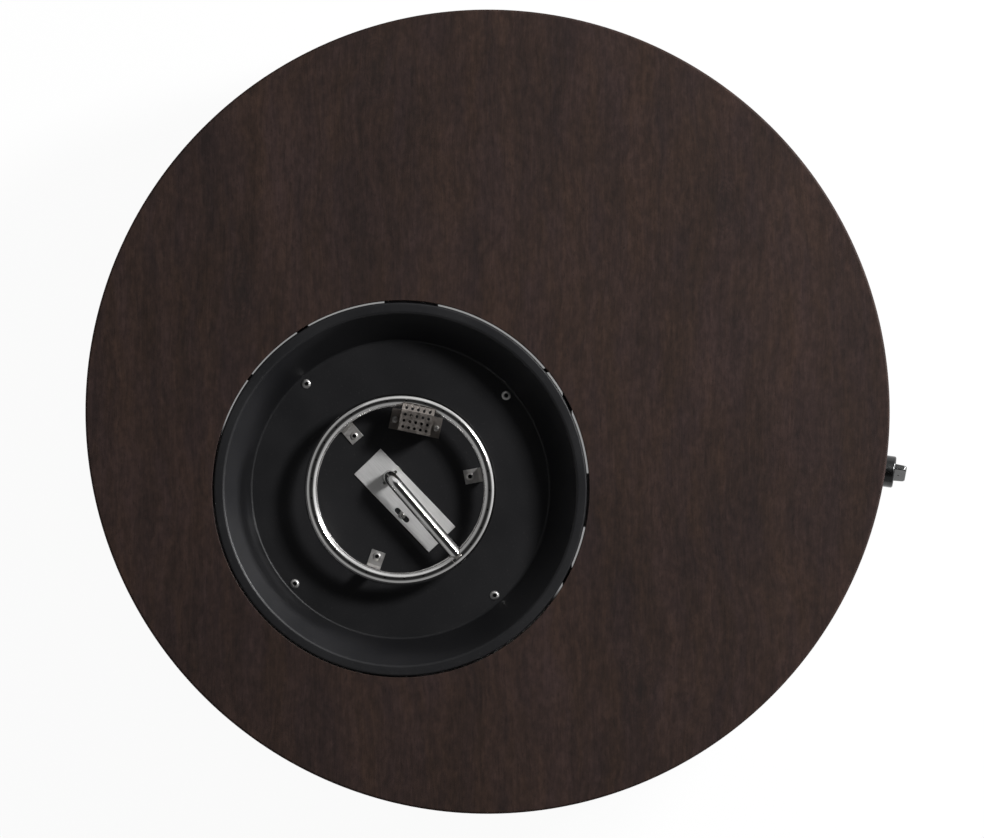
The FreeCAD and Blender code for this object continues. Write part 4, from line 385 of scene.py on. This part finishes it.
tabletop = lathe("wooden_top", [
    (middle_hole, table_low.z), (top_radius, table_low.z),
    (top_radius, table_high.z), (middle_hole, table_high.z)
], round_steps, table_middle)
only(tabletop)
bpy.ops.object.mode_set(mode="EDIT")
bpy.ops.mesh.select_mode(type="EDGE")
bpy.ops.mesh.select_all(action="DESELECT")
bpy.ops.mesh.select_non_manifold()
bpy.ops.mesh.fill_holes(sides=0)
bpy.ops.mesh.select_all(action="SELECT")
bpy.ops.mesh.dissolve_limited(angle_limit=math.radians(0.2))
bpy.ops.mesh.normals_make_consistent(inside=False)
bpy.ops.object.mode_set(mode="OBJECT")
bpy.ops.object.select_all(action="DESELECT")
bpy.ops.mesh.primitive_cylinder_add(
    vertices=240, radius=opening_radius, depth=0.1, location=(opening.x, opening.y, table_high.z))
cut_out(tabletop, bpy.context.object)


def on_rim(at, level):
    """Whether a point is on the top's outer edge at a level."""
    return (at.xy - table_middle.xy).length > top_radius - near and abs(at.z - level) < near


round_edges(tabletop, lambda at: on_rim(at, table_high.z), top_round, 5)
round_edges(tabletop, lambda at: on_rim(at, table_low.z), lower_round, 2)
round_edges(tabletop, lambda at: abs((at.xy - opening.xy).length - opening_radius) < near
            and at.z > table_high.z - near, opening_round, 3)
smooth(tabletop, 20)

grain_turn = math.radians(-8.4)
wood, tree, shader = new_finish("stained_wood", 0.7, specular=0.15)
drift = noise(tree, stretched(tree, (5, 9, 9), grain_turn), 1.0, 3.0)
curl = noise(tree, stretched(tree, (28, 60, 60), grain_turn), 1.0, 2.0)
drift = maths(tree, "ADD", maths(tree, "MULTIPLY", drift, 5.0), maths(tree, "MULTIPLY", curl, 0.9))
bend = add(tree, "ShaderNodeVectorMath", {"operation": "SCALE"}, i0=(0, 1, 0), Scale=drift).outputs[0]


def figured(along, across, detail, roughness, bent):
    """Grain noise at a scale along and across the fibres, bent by the drift of the figure."""
    place = stretched(tree, (along, across, across), grain_turn)
    place = add(tree, "ShaderNodeVectorMath", {"operation": "MULTIPLY_ADD"},
                i0=bend, i1=(0, bent, 0), i2=place).outputs[0]
    return noise(tree, place, 1.0, detail, roughness)


patches = figured(5, 11, 3.0, 0.5, 0.0)
figure = figured(4, 70, 4.0, 0.6, 1.0)
streaks = figured(26, 330, 4.0, 0.7, 1.5)
fibre = figured(60, 900, 3.0, 0.7, 2.0)
mottle = figured(95, 170, 3.0, 0.6, 0.5)
tone = maths(tree, "MULTIPLY", patches, 0.20)
for grain, weight in ((figure, 0.26), (streaks, 0.24), (mottle, 0.34), (fibre, 0.10)):
    tone = maths(tree, "ADD", tone, maths(tree, "MULTIPLY", grain, weight))
stain = ramp(tree, tone, (0.45, (0.0110, 0.0059, 0.0048)), (0.57, (0.0203, 0.0111, 0.0090)),
             (0.69, (0.0332, 0.0186, 0.0151)))
hue = ramp(tree, figured(9, 38, 3.0, 0.6, 0.5), (0.35, (1.0, 0.95, 0.82)), (0.65, (0.92, 0.92, 1.0)))
tinted = blended(tree, 1.0, stain, hue, "MULTIPLY")
flecks = ramp(tree, figured(210, 420, 3.0, 0.6, 1.6), (0.60, 0.0), (0.72, 0.65))
pored = blended(tree, flecks, tinted, (0.0095, 0.0054, 0.0045, 1))
knot_ring_pace = 2400
knots = None
for knot_right, knot_up, size in ((-0.120, 0.372, 0.011), (0.255, 0.221, 0.009),
                                  (0.164, -0.299, 0.012), (-0.265, 0.130, 0.010)):
    centre = table_middle + right * knot_right + up * knot_up
    knot_place = stretched(tree, (0.45, 1, 0), grain_turn, tuple(centre))
    away = add(tree, "ShaderNodeVectorMath", {"operation": "LENGTH"}, i0=knot_place).outputs["Value"]
    ragged = maths(tree, "ADD", away, maths(tree, "MULTIPLY", mottle, size))
    heart = maths(tree, "SUBTRACT", 1.0, softened(tree, ragged, size * 0.3, size * 1.4))
    rings = maths(tree, "SINE", maths(tree, "MULTIPLY", ragged, knot_ring_pace))
    fade = maths(tree, "SUBTRACT", 0.6, softened(tree, away, size, size * 3.5))
    fade = maths(tree, "MAXIMUM", fade, 0.0)
    dark = maths(tree, "MAXIMUM", heart, maths(tree, "MULTIPLY", rings, fade))
    knots = dark if knots is None else maths(tree, "MAXIMUM", knots, dark)
knotted = blended(tree, maths(tree, "MULTIPLY", knots, 0.7), pored, (0.0082, 0.0052, 0.0044, 1))
tree.links.new(knotted, shader.inputs["Base Color"])
tree.links.new(ramp(tree, figure, (0.3, 0.64), (0.7, 0.76)), shader.inputs["Roughness"])
relief(tree, shader, streaks, 0.4, 0.0003)
dress(tabletop, "table", "wood_top", wood, "tabletop")

# ---------------------------------------------------------------------------
# Steel drum
# Sheet steel rolled into a cylinder with turned-in flanges and a ring of air vents,
# in black powder coat. Eight zinc-plated screws hold it to the wooden top.
# ---------------------------------------------------------------------------


def from_solid(node, edge=0.0003, sharp=32):
    """A copy of a solid with its flats made whole and its hard edges broken."""
    only(frame["nodes"][node])
    bpy.ops.object.duplicate()
    piece = bpy.context.object
    bpy.ops.object.parent_clear(type="CLEAR_KEEP_TRANSFORM")
    for key in list(piece.keys()):
        del piece[key]
    piece.name = piece.data.name = f"{node}_piece"
    bpy.ops.object.mode_set(mode="EDIT")
    bpy.ops.mesh.select_all(action="SELECT")
    bpy.ops.mesh.remove_doubles(threshold=2e-6)
    bpy.ops.mesh.dissolve_limited(angle_limit=math.radians(0.5))
    bpy.ops.object.mode_set(mode="OBJECT")
    if edge:
        bevel = piece.modifiers.new("edge", "BEVEL")
        bevel.width = edge
        bevel.segments = 2
        bevel.limit_method = "ANGLE"
        bevel.angle_limit = math.radians(sharp)
        bevel.use_clamp_overlap = True
        bpy.ops.object.modifier_apply(modifier=bevel.name)
    smooth(piece, sharp)
    return piece


def powder_coat(name, colour, roughness):
    """A baked powder coat: a fine orange-peel skin with a little dust on it."""
    material, tree, shader = new_finish(name, roughness, specular=0.4)
    here = add(tree, "ShaderNodeTexCoord").outputs["Object"]
    peel = noise(tree, here, 900.0, 2.0)
    patches = noise(tree, here, 9.0, 4.0)
    dust = ramp(tree, noise(tree, here, 320.0, 3.0), (0.64, 0.0), (0.80, 0.6))
    dark = tuple(part * 0.82 for part in colour)
    light = tuple(part * 1.2 for part in colour)
    coat = ramp(tree, patches, (0.3, dark), (0.7, light))
    dusty = blended(tree, dust, coat, (*(part * 2.2 + 0.004 for part in colour), 1))
    tree.links.new(dusty, shader.inputs["Base Color"])
    tree.links.new(ramp(tree, patches, (0.3, roughness * 0.85), (0.7, roughness * 1.15)),
                   shader.inputs["Roughness"])
    relief(tree, shader, peel, 0.35, 0.00012)
    return material


def bare_metal(name, colour, roughness, grain=600, dulled=0.8):
    """A cast, plated or drawn metal with small changes of tone and shine."""
    material, tree, shader = new_finish(name, roughness, metallic=1.0)
    here = add(tree, "ShaderNodeTexCoord").outputs["Object"]
    patches = noise(tree, here, 90.0, 4.0)
    fine = noise(tree, here, grain, 3.0)
    dark = tuple(part * dulled for part in colour)
    tree.links.new(ramp(tree, patches, (0.3, dark), (0.7, colour)), shader.inputs["Base Color"])
    tree.links.new(ramp(tree, fine, (0.3, roughness * 0.8), (0.7, roughness * 1.25)),
                   shader.inputs["Roughness"])
    relief(tree, shader, fine, 0.2, 0.00005)
    return material


drum_coat = powder_coat("drum_powder_coat", (0.014, 0.014, 0.0147), 0.48)
zinc_plating = bare_metal("zinc_plating", (0.62, 0.61, 0.58), 0.3)
dress(from_solid("drum_wall", 0), "table", "black_drum", drum_coat, "drum_wall")
dress(from_solid("top_screws", 0.0002), "table", "zinc", zinc_plating, "top_screws")

# ---------------------------------------------------------------------------
# Base rails and feet
# Two square steel tubes cross the drum near the ground, each held by two bolts. Six
# moulded rubber feet stand under the drum's lower flange, each with its own screw.
# ---------------------------------------------------------------------------


def moulded(name, colour, roughness, grain, strength):
    """Rubber, plastic or silicone from a mould, with a fine even skin."""
    material, tree, shader = new_finish(name, roughness, specular=0.4)
    here = add(tree, "ShaderNodeTexCoord").outputs["Object"]
    scuffs = noise(tree, here, 55.0, 5.0, 0.7)
    skin = noise(tree, here, grain, 2.0)
    dark = tuple(part * 0.8 for part in colour)
    light = tuple(part * 1.35 for part in colour)
    tree.links.new(ramp(tree, scuffs, (0.35, dark), (0.75, light)), shader.inputs["Base Color"])
    tree.links.new(ramp(tree, scuffs, (0.3, roughness * 0.85), (0.7, min(1.0, roughness * 1.15))),
                   shader.inputs["Roughness"])
    relief(tree, shader, skin, strength, 0.00012)
    return material


for rail in ("base_rail_front", "base_rail_rear"):
    dress(from_solid(rail, 0.0006), "table", "black_drum", drum_coat, rail)
dress(from_solid("rail_bolts"), "table", "zinc", zinc_plating, "rail_bolts")
foot_rubber = moulded("foot_rubber", (0.022, 0.022, 0.022), 0.75, 1200, 0.3)
for number in range(1, 7):
    dress(from_solid(f"foot_{number}", 0.0004), "table", "rubber", foot_rubber, f"foot_{number}")
dress(from_solid("foot_screws", 0.0002), "table", "zinc", zinc_plating, "foot_screws")

# ---------------------------------------------------------------------------
# Fire bowl
# Drawn from one steel sheet 1.5 mm thick: a flat rim that drops into the opening, a
# sloping wall and a flat floor. It has a black, heat-proof satin paint.
# ---------------------------------------------------------------------------

bowl_sheet = 0.0015
rim_radius = (bowl_high.x - bowl_low.x) / 2
rim_inner = 0.1895
floor_edge = 0.1609
rim_top = bowl_high.z
floor_top = bowl_low.z + bowl_sheet
skirt_bottom = table_low.z
bend_round = 0.0022
burner_turn = math.radians(139.07)
burner_across = Vector((math.cos(burner_turn), math.sin(burner_turn), 0))
burner_along = Vector((-math.sin(burner_turn), math.cos(burner_turn), 0))
leg_offset = 0.0173
leg_opening = 0.015

bowl = lathe("black_fire_bowl", [
    (rim_radius, skirt_bottom), (rim_radius, rim_top), (rim_inner, rim_top),
    (floor_edge, floor_top), (0.12, floor_top), (0.08, floor_top), (0.04, floor_top), (0, floor_top)
], round_steps, bowl_middle)
for radius, height in ((rim_radius, rim_top), (rim_inner, rim_top), (floor_edge, floor_top)):
    round_edges(bowl, lambda at: abs((at.xy - bowl_middle.xy).length - radius) < near
                and abs(at.z - height) < near, bend_round, 4)
only(bowl)
thickness = bowl.modifiers.new("sheet", "SOLIDIFY")
thickness.thickness = bowl_sheet
thickness.offset = -1
bpy.ops.object.modifier_apply(modifier=thickness.name)
leg = Vector((bowl_middle.x, bowl_middle.y, floor_top)) - burner_along * leg_offset
bpy.ops.object.select_all(action="DESELECT")
bpy.ops.mesh.primitive_cylinder_add(vertices=48, radius=leg_opening, depth=0.02, location=leg)
cut_out(bowl, bpy.context.object)
smooth(bowl, 25)

bowl_paint, tree, shader = new_finish("heat_proof_black", 0.42, specular=0.22)
here = add(tree, "ShaderNodeTexCoord").outputs["Object"]
mottle = noise(tree, here, 11.0, 4.0)
speck = noise(tree, here, 1800.0, 2.0)
dust = ramp(tree, noise(tree, here, 420.0, 3.0), (0.62, 0.0), (0.78, 1.0))
paint = ramp(tree, mottle, (0.3, (0.0068, 0.0069, 0.0078)), (0.7, (0.0098, 0.0097, 0.0107)))
tree.links.new(blended(tree, dust, paint, (0.022, 0.021, 0.021, 1)), shader.inputs["Base Color"])
tree.links.new(ramp(tree, mottle, (0.25, 0.38), (0.75, 0.5)), shader.inputs["Roughness"])
relief(tree, shader, speck, 0.25, 0.0001)
dress(bowl, "table", "black_bowl", bowl_paint, "fire_bowl")

# ---------------------------------------------------------------------------
# Bowl brackets
# Four galvanised steel angles under the wood, each with two zinc-plated wood screws.
# The bowl's skirt stands on them.
# ---------------------------------------------------------------------------


def galvanised_sheet(name, colour, roughness):
    """Hot-dipped sheet: flat zinc crystals of slightly different greys."""
    material, tree, shader = new_finish(name, roughness, metallic=1.0)
    here = add(tree, "ShaderNodeTexCoord").outputs["Object"]
    crystals = add(tree, "ShaderNodeTexVoronoi", Vector=here, Scale=110.0).outputs["Color"]
    flakes = add(tree, "ShaderNodeSeparateColor", Color=crystals).outputs["Red"]
    fine = noise(tree, here, 500.0, 3.0)
    dark = tuple(part * 0.78 for part in colour)
    tree.links.new(ramp(tree, flakes, (0.0, dark), (1.0, colour)), shader.inputs["Base Color"])
    tree.links.new(ramp(tree, flakes, (0.0, roughness * 0.8), (1.0, roughness * 1.2)),
                   shader.inputs["Roughness"])
    relief(tree, shader, fine, 0.2, 0.00006)
    return material


galvanised = galvanised_sheet("galvanised_sheet", (0.5, 0.5, 0.5), 0.38)
for number in range(1, 5):
    dress(from_solid(f"bowl_bracket_{number}"), "table", "galvanised", galvanised, f"bowl_bracket_{number}")
dress(from_solid("bracket_screws", 0.0002), "table", "zinc", zinc_plating, "bracket_screws")

# ---------------------------------------------------------------------------
# Heat shield
# A shallow galvanised pan with four ears, hung below the bowl on four dull steel
# rivets. Each rivet has a domed head with a drawn-in pin hole.
# ---------------------------------------------------------------------------


def paint_hole_shade(piece, shade_finish, here):
    """Give the faces at a place a near-black finish: painted shade inside a hole."""
    piece.data.materials.append(shade_finish)
    for face in piece.data.polygons:
        if here(face.center, face.normal):
            face.material_index = len(piece.data.materials) - 1


# A mottled near-black finish: painted shade for the insides of holes and of the hood.
hole_shade, tree, shader = new_finish("painted_hole_shade", 0.9, specular=0.1)
shade_tone = ramp(tree, noise(tree, add(tree, "ShaderNodeTexCoord").outputs["Object"], 300.0, 3.0),
            (0.3, 0.0015), (0.7, 0.004))
tree.links.new(shade_tone, shader.inputs["Base Color"])


def on_circle(radius, turn, bearings):
    """Places on a circle about the bowl's middle, at bearings in degrees from a turn."""
    return [bowl_middle.xy + Vector((math.cos(turn + math.radians(bearing)),
                                     math.sin(turn + math.radians(bearing)))) * radius
            for bearing in bearings]


def paint_pin_hole_shade(piece, middles, radius, top):
    """Paint shade into the drawn-in pin holes of rivets with their heads' tops at one level."""
    paint_hole_shade(piece, hole_shade, lambda at, normal: top - 0.0018 < at.z < top - 0.0002 and any(
        (at.xy - middle).length < radius for middle in middles))


dress(from_solid("heat_shield", 0), "table", "galvanised", galvanised, "heat_shield")
bowl_turn = math.radians(140.07)
rivet_circle_radius = 0.1524
pin_hole = 0.0020
rivet_head = 0.002
rivet_metal = bare_metal("dull_rivets", (0.62, 0.61, 0.60), 0.36, 700, 0.7)
floor_rivets = from_solid("floor_rivets", 0.0002)
dress(floor_rivets, "table", "black_screws", rivet_metal, "floor_rivets")
# Painted shade in the rivets' pin holes.
paint_pin_hole_shade(floor_rivets, on_circle(rivet_circle_radius, bowl_turn, (0, 90, 180, 270)),
               pin_hole, floor_top + rivet_head)

# ---------------------------------------------------------------------------
# Ring burner and feed tube
# Polished stainless tube bent into a ring and butt-welded, with a row of gas ports in
# its crown. A second tube comes up through the bowl's floor and is welded into it.
# ---------------------------------------------------------------------------

ring_radius = 0.09605
tube_radius = 0.00715
ring_height = 0.0335
ring_level = floor_top + ring_height
port_count = 28
port_radius = 0.001
drill_length = 0.006
port_pitch = 360 / (port_count + 1)
port_shift = -1
tube_wall = 0.0012
feed_bend = 0.011
feed_short = 0.002
weld_width = 0.0009
weld_ripple = 0.00012
weld_ripples = 9
seam_bearing = 85.5
seam_width = 0.00025

ring_middle = Vector((bowl_middle.x, bowl_middle.y, ring_level))
bpy.ops.object.select_all(action="DESELECT")
bpy.ops.mesh.primitive_torus_add(
    major_segments=232, minor_segments=48, major_radius=ring_radius, minor_radius=tube_radius,
    location=ring_middle)
ring = bpy.context.object
ring.name = ring.data.name = "ring_tube"
bpy.ops.object.transform_apply(location=True, rotation=True, scale=True)
bpy.ops.object.select_all(action="DESELECT")
for number in range(port_count):
    bearing = burner_turn + math.radians(90 + port_pitch * (number + 1) + port_shift)
    port = ring_middle + Vector((math.cos(bearing) * ring_radius, math.sin(bearing) * ring_radius,
                                 tube_radius))
    bpy.ops.mesh.primitive_cylinder_add(vertices=16, radius=port_radius, depth=drill_length, location=port)
    if number:
        drills.select_set(True)
        bpy.context.view_layer.objects.active = drills
        bpy.ops.object.join()
    drills = bpy.context.object
cut_out(ring, drills)
smooth(ring, 40)


def polished_tube(name, colour, roughness):
    """Bright drawn tube with faint polishing lines and a few dull patches."""
    material, tree, shader = new_finish(name, roughness, metallic=1.0)
    here = add(tree, "ShaderNodeTexCoord").outputs["Object"]
    smears = noise(tree, here, 38.0, 4.0, 0.6)
    fine = noise(tree, here, 900.0, 3.0)
    dark = tuple(part * 0.86 for part in colour)
    tree.links.new(ramp(tree, smears, (0.3, dark), (0.65, colour)), shader.inputs["Base Color"])
    tree.links.new(ramp(tree, smears, (0.3, roughness * 0.8), (0.7, roughness * 1.35)),
                   shader.inputs["Roughness"])
    relief(tree, shader, fine, 0.12, 0.00003)
    return material


polished = polished_tube("polished_stainless", (0.86, 0.85, 0.84), 0.095)
dress(ring, "table", "stainless_polished", polished, "ring_burner")
# Painted shade: the ports' walls and bottoms get the near-black finish.
paint_hole_shade(ring, hole_shade, lambda at, normal: math.hypot(
    (at.xy - bowl_middle.xy).length - ring_radius, at.z - ring_level) < tube_radius - 0.0003)

leg_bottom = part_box("feed_tube")[0].z
bpy.ops.object.select_all(action="DESELECT")
bpy.ops.mesh.primitive_circle_add(vertices=48, radius=tube_radius, location=(leg.x, leg.y, leg_bottom))
feed = bpy.context.object
feed.name = feed.data.name = "feed_tube_piece"
bpy.ops.object.transform_apply(location=True, rotation=True, scale=True)
bpy.ops.object.mode_set(mode="EDIT")
bpy.ops.mesh.select_all(action="SELECT")
bend_level = ring_level - feed_bend
bpy.ops.mesh.extrude_edges_move(TRANSFORM_OT_translate={"value": (0, 0, bend_level - leg_bottom)})
bend_middle = Vector((leg.x, leg.y, bend_level)) + burner_along * feed_bend
bpy.ops.mesh.spin(steps=24, angle=math.pi / 2, center=bend_middle, axis=burner_across)
run = ring_radius - feed_short + leg_offset - feed_bend
bpy.ops.mesh.extrude_edges_move(TRANSFORM_OT_translate={"value": burner_along * run})
bpy.ops.mesh.select_all(action="SELECT")
bpy.ops.mesh.remove_doubles(threshold=1e-6)
bpy.ops.mesh.normals_make_consistent(inside=False)
bpy.ops.object.mode_set(mode="OBJECT")
wall = feed.modifiers.new("wall", "SOLIDIFY")
wall.thickness = tube_wall
wall.offset = -1
bpy.ops.object.modifier_apply(modifier=wall.name)
smooth(feed, 40)
dress(feed, "table", "stainless_polished", polished, "feed_tube")

joint = ring_middle + burner_along * ring_radius
bpy.ops.mesh.primitive_torus_add(
    major_segments=72, minor_segments=12, major_radius=tube_radius, minor_radius=weld_width,
    location=joint, rotation=(math.pi / 2, 0, burner_turn))
weld = bpy.context.object
weld.name = weld.data.name = "feed_weld"
bpy.ops.object.transform_apply(location=True, rotation=True, scale=True)
for corner in weld.data.vertices:
    rise = max(-tube_radius, min(tube_radius, corner.co.z - ring_level))
    round_weld = math.atan2(rise, (corner.co - joint).dot(burner_across))
    ripple = weld_ripple * math.sin(weld_ripples * round_weld)
    corner.co -= burner_along * (math.sqrt(tube_radius ** 2 - rise ** 2) + ripple)
smooth(weld, 60)
weld_bead = bare_metal("weld_bead", (0.36, 0.34, 0.32), 0.32, 900, 0.6)
dress(weld, "table", "stainless", weld_bead)

seam_turn = burner_turn + math.radians(seam_bearing)
bpy.ops.mesh.primitive_torus_add(
    major_segments=48, minor_segments=8, major_radius=tube_radius, minor_radius=seam_width,
    location=ring_middle + Vector((math.cos(seam_turn), math.sin(seam_turn), 0)) * ring_radius,
    rotation=(math.pi / 2, 0, seam_turn))
seam = bpy.context.object
seam.name = seam.data.name = "ring_seam"
bpy.ops.object.transform_apply(location=True, rotation=True, scale=True)
smooth(seam, 60)
dress(seam, "table", "stainless", weld_bead)

# ---------------------------------------------------------------------------
# Ring tabs
# Three strips of dull stainless steel, bent up from the bowl's floor to the ring. Each
# is welded to the tube and held to the floor by one pop rivet.
# ---------------------------------------------------------------------------

dull_steel = bare_metal("dull_stainless", (0.60, 0.585, 0.57), 0.38, 500)
for number in range(1, 4):
    dress(from_solid(f"ring_tab_{number}"), "table", "stainless", dull_steel, f"ring_tab_{number}")
tab_rivets = from_solid("tab_rivets", 0.0002)
dress(tab_rivets, "table", "stainless", dull_steel, "tab_rivets")
tab_sheet = 0.0015
tab_circle_radius = 0.0762
# Painted shade in the rivets' pin holes.
paint_pin_hole_shade(tab_rivets, on_circle(tab_circle_radius, burner_turn, (-90, 30, 150)),
               pin_hole, floor_top + tab_sheet + rivet_head)

# ---------------------------------------------------------------------------
# Cover plate
# A flat brushed stainless plate that closes the hole round the feed tube's leg. One
# slotted screw in a long slot holds it to the bowl's floor.
# ---------------------------------------------------------------------------


def brushed_steel(name, colour, roughness, along, lines, strength):
    """Bare sheet steel with fine brush lines at a turn about Z."""
    material, tree, shader = new_finish(name, roughness, metallic=1.0)
    strokes = noise(tree, stretched(tree, (lines * 0.02, lines, lines), -along), 1.0, 5.0, 0.65)
    cloud = noise(tree, stretched(tree, (30, 30, 30)), 1.0, 3.0)
    dark = tuple(part * 0.82 for part in colour)
    light = tuple(min(1.0, part * 1.12) for part in colour)
    worn = ramp(tree, strokes, (0.3, dark), (0.7, light))
    hazy = blended(tree, 0.5, worn, ramp(tree, cloud, (0.3, 0.75), (0.7, 1.0)), "MULTIPLY")
    tree.links.new(hazy, shader.inputs["Base Color"])
    tree.links.new(ramp(tree, strokes, (0.25, roughness - 0.08), (0.75, roughness + 0.1)),
                   shader.inputs["Roughness"])
    relief(tree, shader, strokes, strength, 0.00006)
    return material


plate_turn = math.radians(92.1)
plate_steel = brushed_steel("brushed_plate", (0.72, 0.715, 0.71), 0.5, bowl_turn + plate_turn, 2600, 0.3)
screw_steel = bare_metal("bright_screw", (0.55, 0.54, 0.53), 0.27, 600)
dress(from_solid("cover_plate", 0.0004), "table", "stainless", plate_steel, "cover_plate")
dress(from_solid("plate_screw", 0.0002), "table", "stainless", screw_steel, "plate_screw")

# ---------------------------------------------------------------------------
# Igniter hood
# Dull stainless sheet with three rows of round holes, folded over the igniter, with a
# sloping back and two flanges that two small screws hold to the floor.
# ---------------------------------------------------------------------------

hood_steel = bare_metal("heated_stainless", (0.29, 0.262, 0.242), 0.36, 420, 0.7)
hood = from_solid("igniter_hood", 0.0002)
dress(hood, "table", "stainless", hood_steel, "igniter_hood")
hood_low, hood_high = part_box("igniter_hood")
hood_middle = (hood_low + hood_high) / 2
flange_top = floor_top + 0.003
# Painted shade: the hood's inward faces and the underside of its top get the near-black finish.
paint_hole_shade(hood, hole_shade, lambda at, normal: normal.z < -0.5 and at.z > hood_middle.z
           or at.z > flange_top and abs(normal.z) < 0.6
           and normal.xy.dot(hood_middle.xy - at.xy) > 0.6 * (hood_middle.xy - at.xy).length)
dress(from_solid("hood_screws", 0.0002), "table", "stainless", dull_steel, "hood_screws")

# ---------------------------------------------------------------------------
# Electrode and flame sensor
# A spark rod in a glazed ceramic body with a silicone boot below, and beside it the
# flame sensor's steel sleeve. Both stand up through the bowl's floor under the hood.
# ---------------------------------------------------------------------------

ceramic, tree, shader = new_finish("smoked_ceramic", 0.3)
here = add(tree, "ShaderNodeTexCoord").outputs["Object"]
smoke = noise(tree, here, 120.0, 4.0)
smoked_from = softened(tree, add(tree, "ShaderNodeSeparateXYZ", Vector=here).outputs["Z"],
                       floor_top - 0.004, floor_top + 0.010)
glaze = ramp(tree, smoke, (0.3, (0.66, 0.63, 0.56)), (0.7, (0.80, 0.77, 0.70)))
smoked = ramp(tree, smoke, (0.3, (0.035, 0.028, 0.023)), (0.7, (0.08, 0.066, 0.055)))
tree.links.new(blended(tree, smoked_from, glaze, smoked), shader.inputs["Base Color"])
relief(tree, shader, smoke, 0.05, 0.0001)
silicone = moulded("silicone_rubber", (0.03, 0.03, 0.032), 0.55, 800, 0.1)
dress(from_solid("electrode_ceramic"), "table", "ceramic", ceramic, "electrode_ceramic")
sooty_steel = bare_metal("sooty_stainless", (0.07, 0.062, 0.056), 0.5, 420, 0.6)
dress(from_solid("electrode_rod", 0), "table", "stainless", sooty_steel, "electrode_rod")
dress(from_solid("flame_sensor", 0.0002), "table", "stainless", sooty_steel, "flame_sensor")
dress(from_solid("electrode_boot", 0.0005), "table", "silicone", silicone, "electrode_boot")

# ---------------------------------------------------------------------------
# Gas mixer
# A cast elbow on the feed tube's leg, a steel tube that widens to its mouth, and on
# the mouth a turning sleeve that opens or closes the air windows.
# ---------------------------------------------------------------------------

cast_alloy = bare_metal("cast_alloy", (0.52, 0.52, 0.52), 0.45, 900)
tube_zinc = galvanised_sheet("zinc_coated_tube", (0.50, 0.50, 0.50), 0.36)
dress(from_solid("mixer_elbow"), "table", "cast_alloy", cast_alloy, "mixer_elbow")
dress(from_solid("mixer_tube", 0.0002), "table", "galvanised", tube_zinc, "mixer_tube")
dress(from_solid("air_shutter", 0.0002), "shutter", "galvanised", tube_zinc, "air_shutter")

# ---------------------------------------------------------------------------
# Gas jet and pipe
# A brass jet sits in the mixer's end wall on a brass elbow block. An aluminium pipe
# with a brass nut at each end brings the gas from the valve.
# ---------------------------------------------------------------------------

brass = bare_metal("brass", (0.72, 0.52, 0.24), 0.28, 500, 0.72)
pipe_aluminium = bare_metal("drawn_aluminium", (0.66, 0.66, 0.66), 0.3, 700)
dress(from_solid("gas_jet", 0.0002), "table", "brass", brass, "gas_jet")
dress(from_solid("jet_elbow", 0.0004), "table", "brass", brass, "jet_elbow")
dress(from_solid("gas_pipe", 0), "table", "pipe_metal", pipe_aluminium, "gas_pipe")
dress(from_solid("pipe_nuts"), "table", "brass", brass, "pipe_nuts")

# ---------------------------------------------------------------------------
# Gas valve
# A die-cast valve block behind the drum wall, with a brass inlet fitting below. Its
# threaded neck goes through the wall and is held by a nut under a round steel bezel.
# The stem ends inside the knob, and there is a coil return spring.
# ---------------------------------------------------------------------------

dress(from_solid("valve_body", 0.0004), "table", "cast_alloy", cast_alloy, "valve_body")
dress(from_solid("inlet_fitting"), "table", "brass", brass, "inlet_fitting")
dress(from_solid("knob_bezel"), "table", "stainless", dull_steel, "knob_bezel")
dress(from_solid("neck_nut"), "table", "zinc", zinc_plating, "neck_nut")
dress(from_solid("neck_cap", 0.0002), "table", "brass", brass, "neck_cap")
spring = from_solid("return_spring", 0)
dress(spring, "table", "zinc", zinc_plating, "return_spring")
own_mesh(spring)
dress(from_solid("push_collar", 0.0002), "plunger", "brass", brass, "push_collar")
stem = from_solid("valve_stem", 0.0002)
stem_short = 0.003
stem_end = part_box("valve_stem")[0].y + stem_short
only(stem)
bpy.ops.object.mode_set(mode="EDIT")
bpy.ops.mesh.select_all(action="SELECT")
bpy.ops.mesh.bisect(plane_co=(0, stem_end, 0), plane_no=(0, -1, 0), use_fill=True, clear_outer=True)
bpy.ops.object.mode_set(mode="OBJECT")
dress(stem, "knob", "brass", brass, "valve_stem")

# ---------------------------------------------------------------------------
# Control knob
# A die-cast knob with a round skirt and a bar grip, plated a dark gunmetal grey.
# ---------------------------------------------------------------------------

gunmetal = bare_metal("gunmetal_plating", (0.066, 0.067, 0.067), 0.22, 700, 0.85)
dress(from_solid("control_knob", 0.0004), "knob", "knob_metal", gunmetal, "control_knob")

# ---------------------------------------------------------------------------
# Piezo igniter and leads
# A black plastic spark unit behind the drum wall, its insulated lead to the electrode,
# and the thin metal capillary of the flame sensor.
# ---------------------------------------------------------------------------

black_plastic = moulded("black_plastic", (0.025, 0.025, 0.026), 0.45, 1500, 0.15)
dress(from_solid("piezo_igniter", 0.0006), "table", "black_plastic", black_plastic, "piezo_igniter")
dress(from_solid("ignition_lead", 0), "table", "silicone", silicone, "ignition_lead")
dress(from_solid("sensor_lead", 0), "table", "pipe_metal", pipe_aluminium, "sensor_lead")
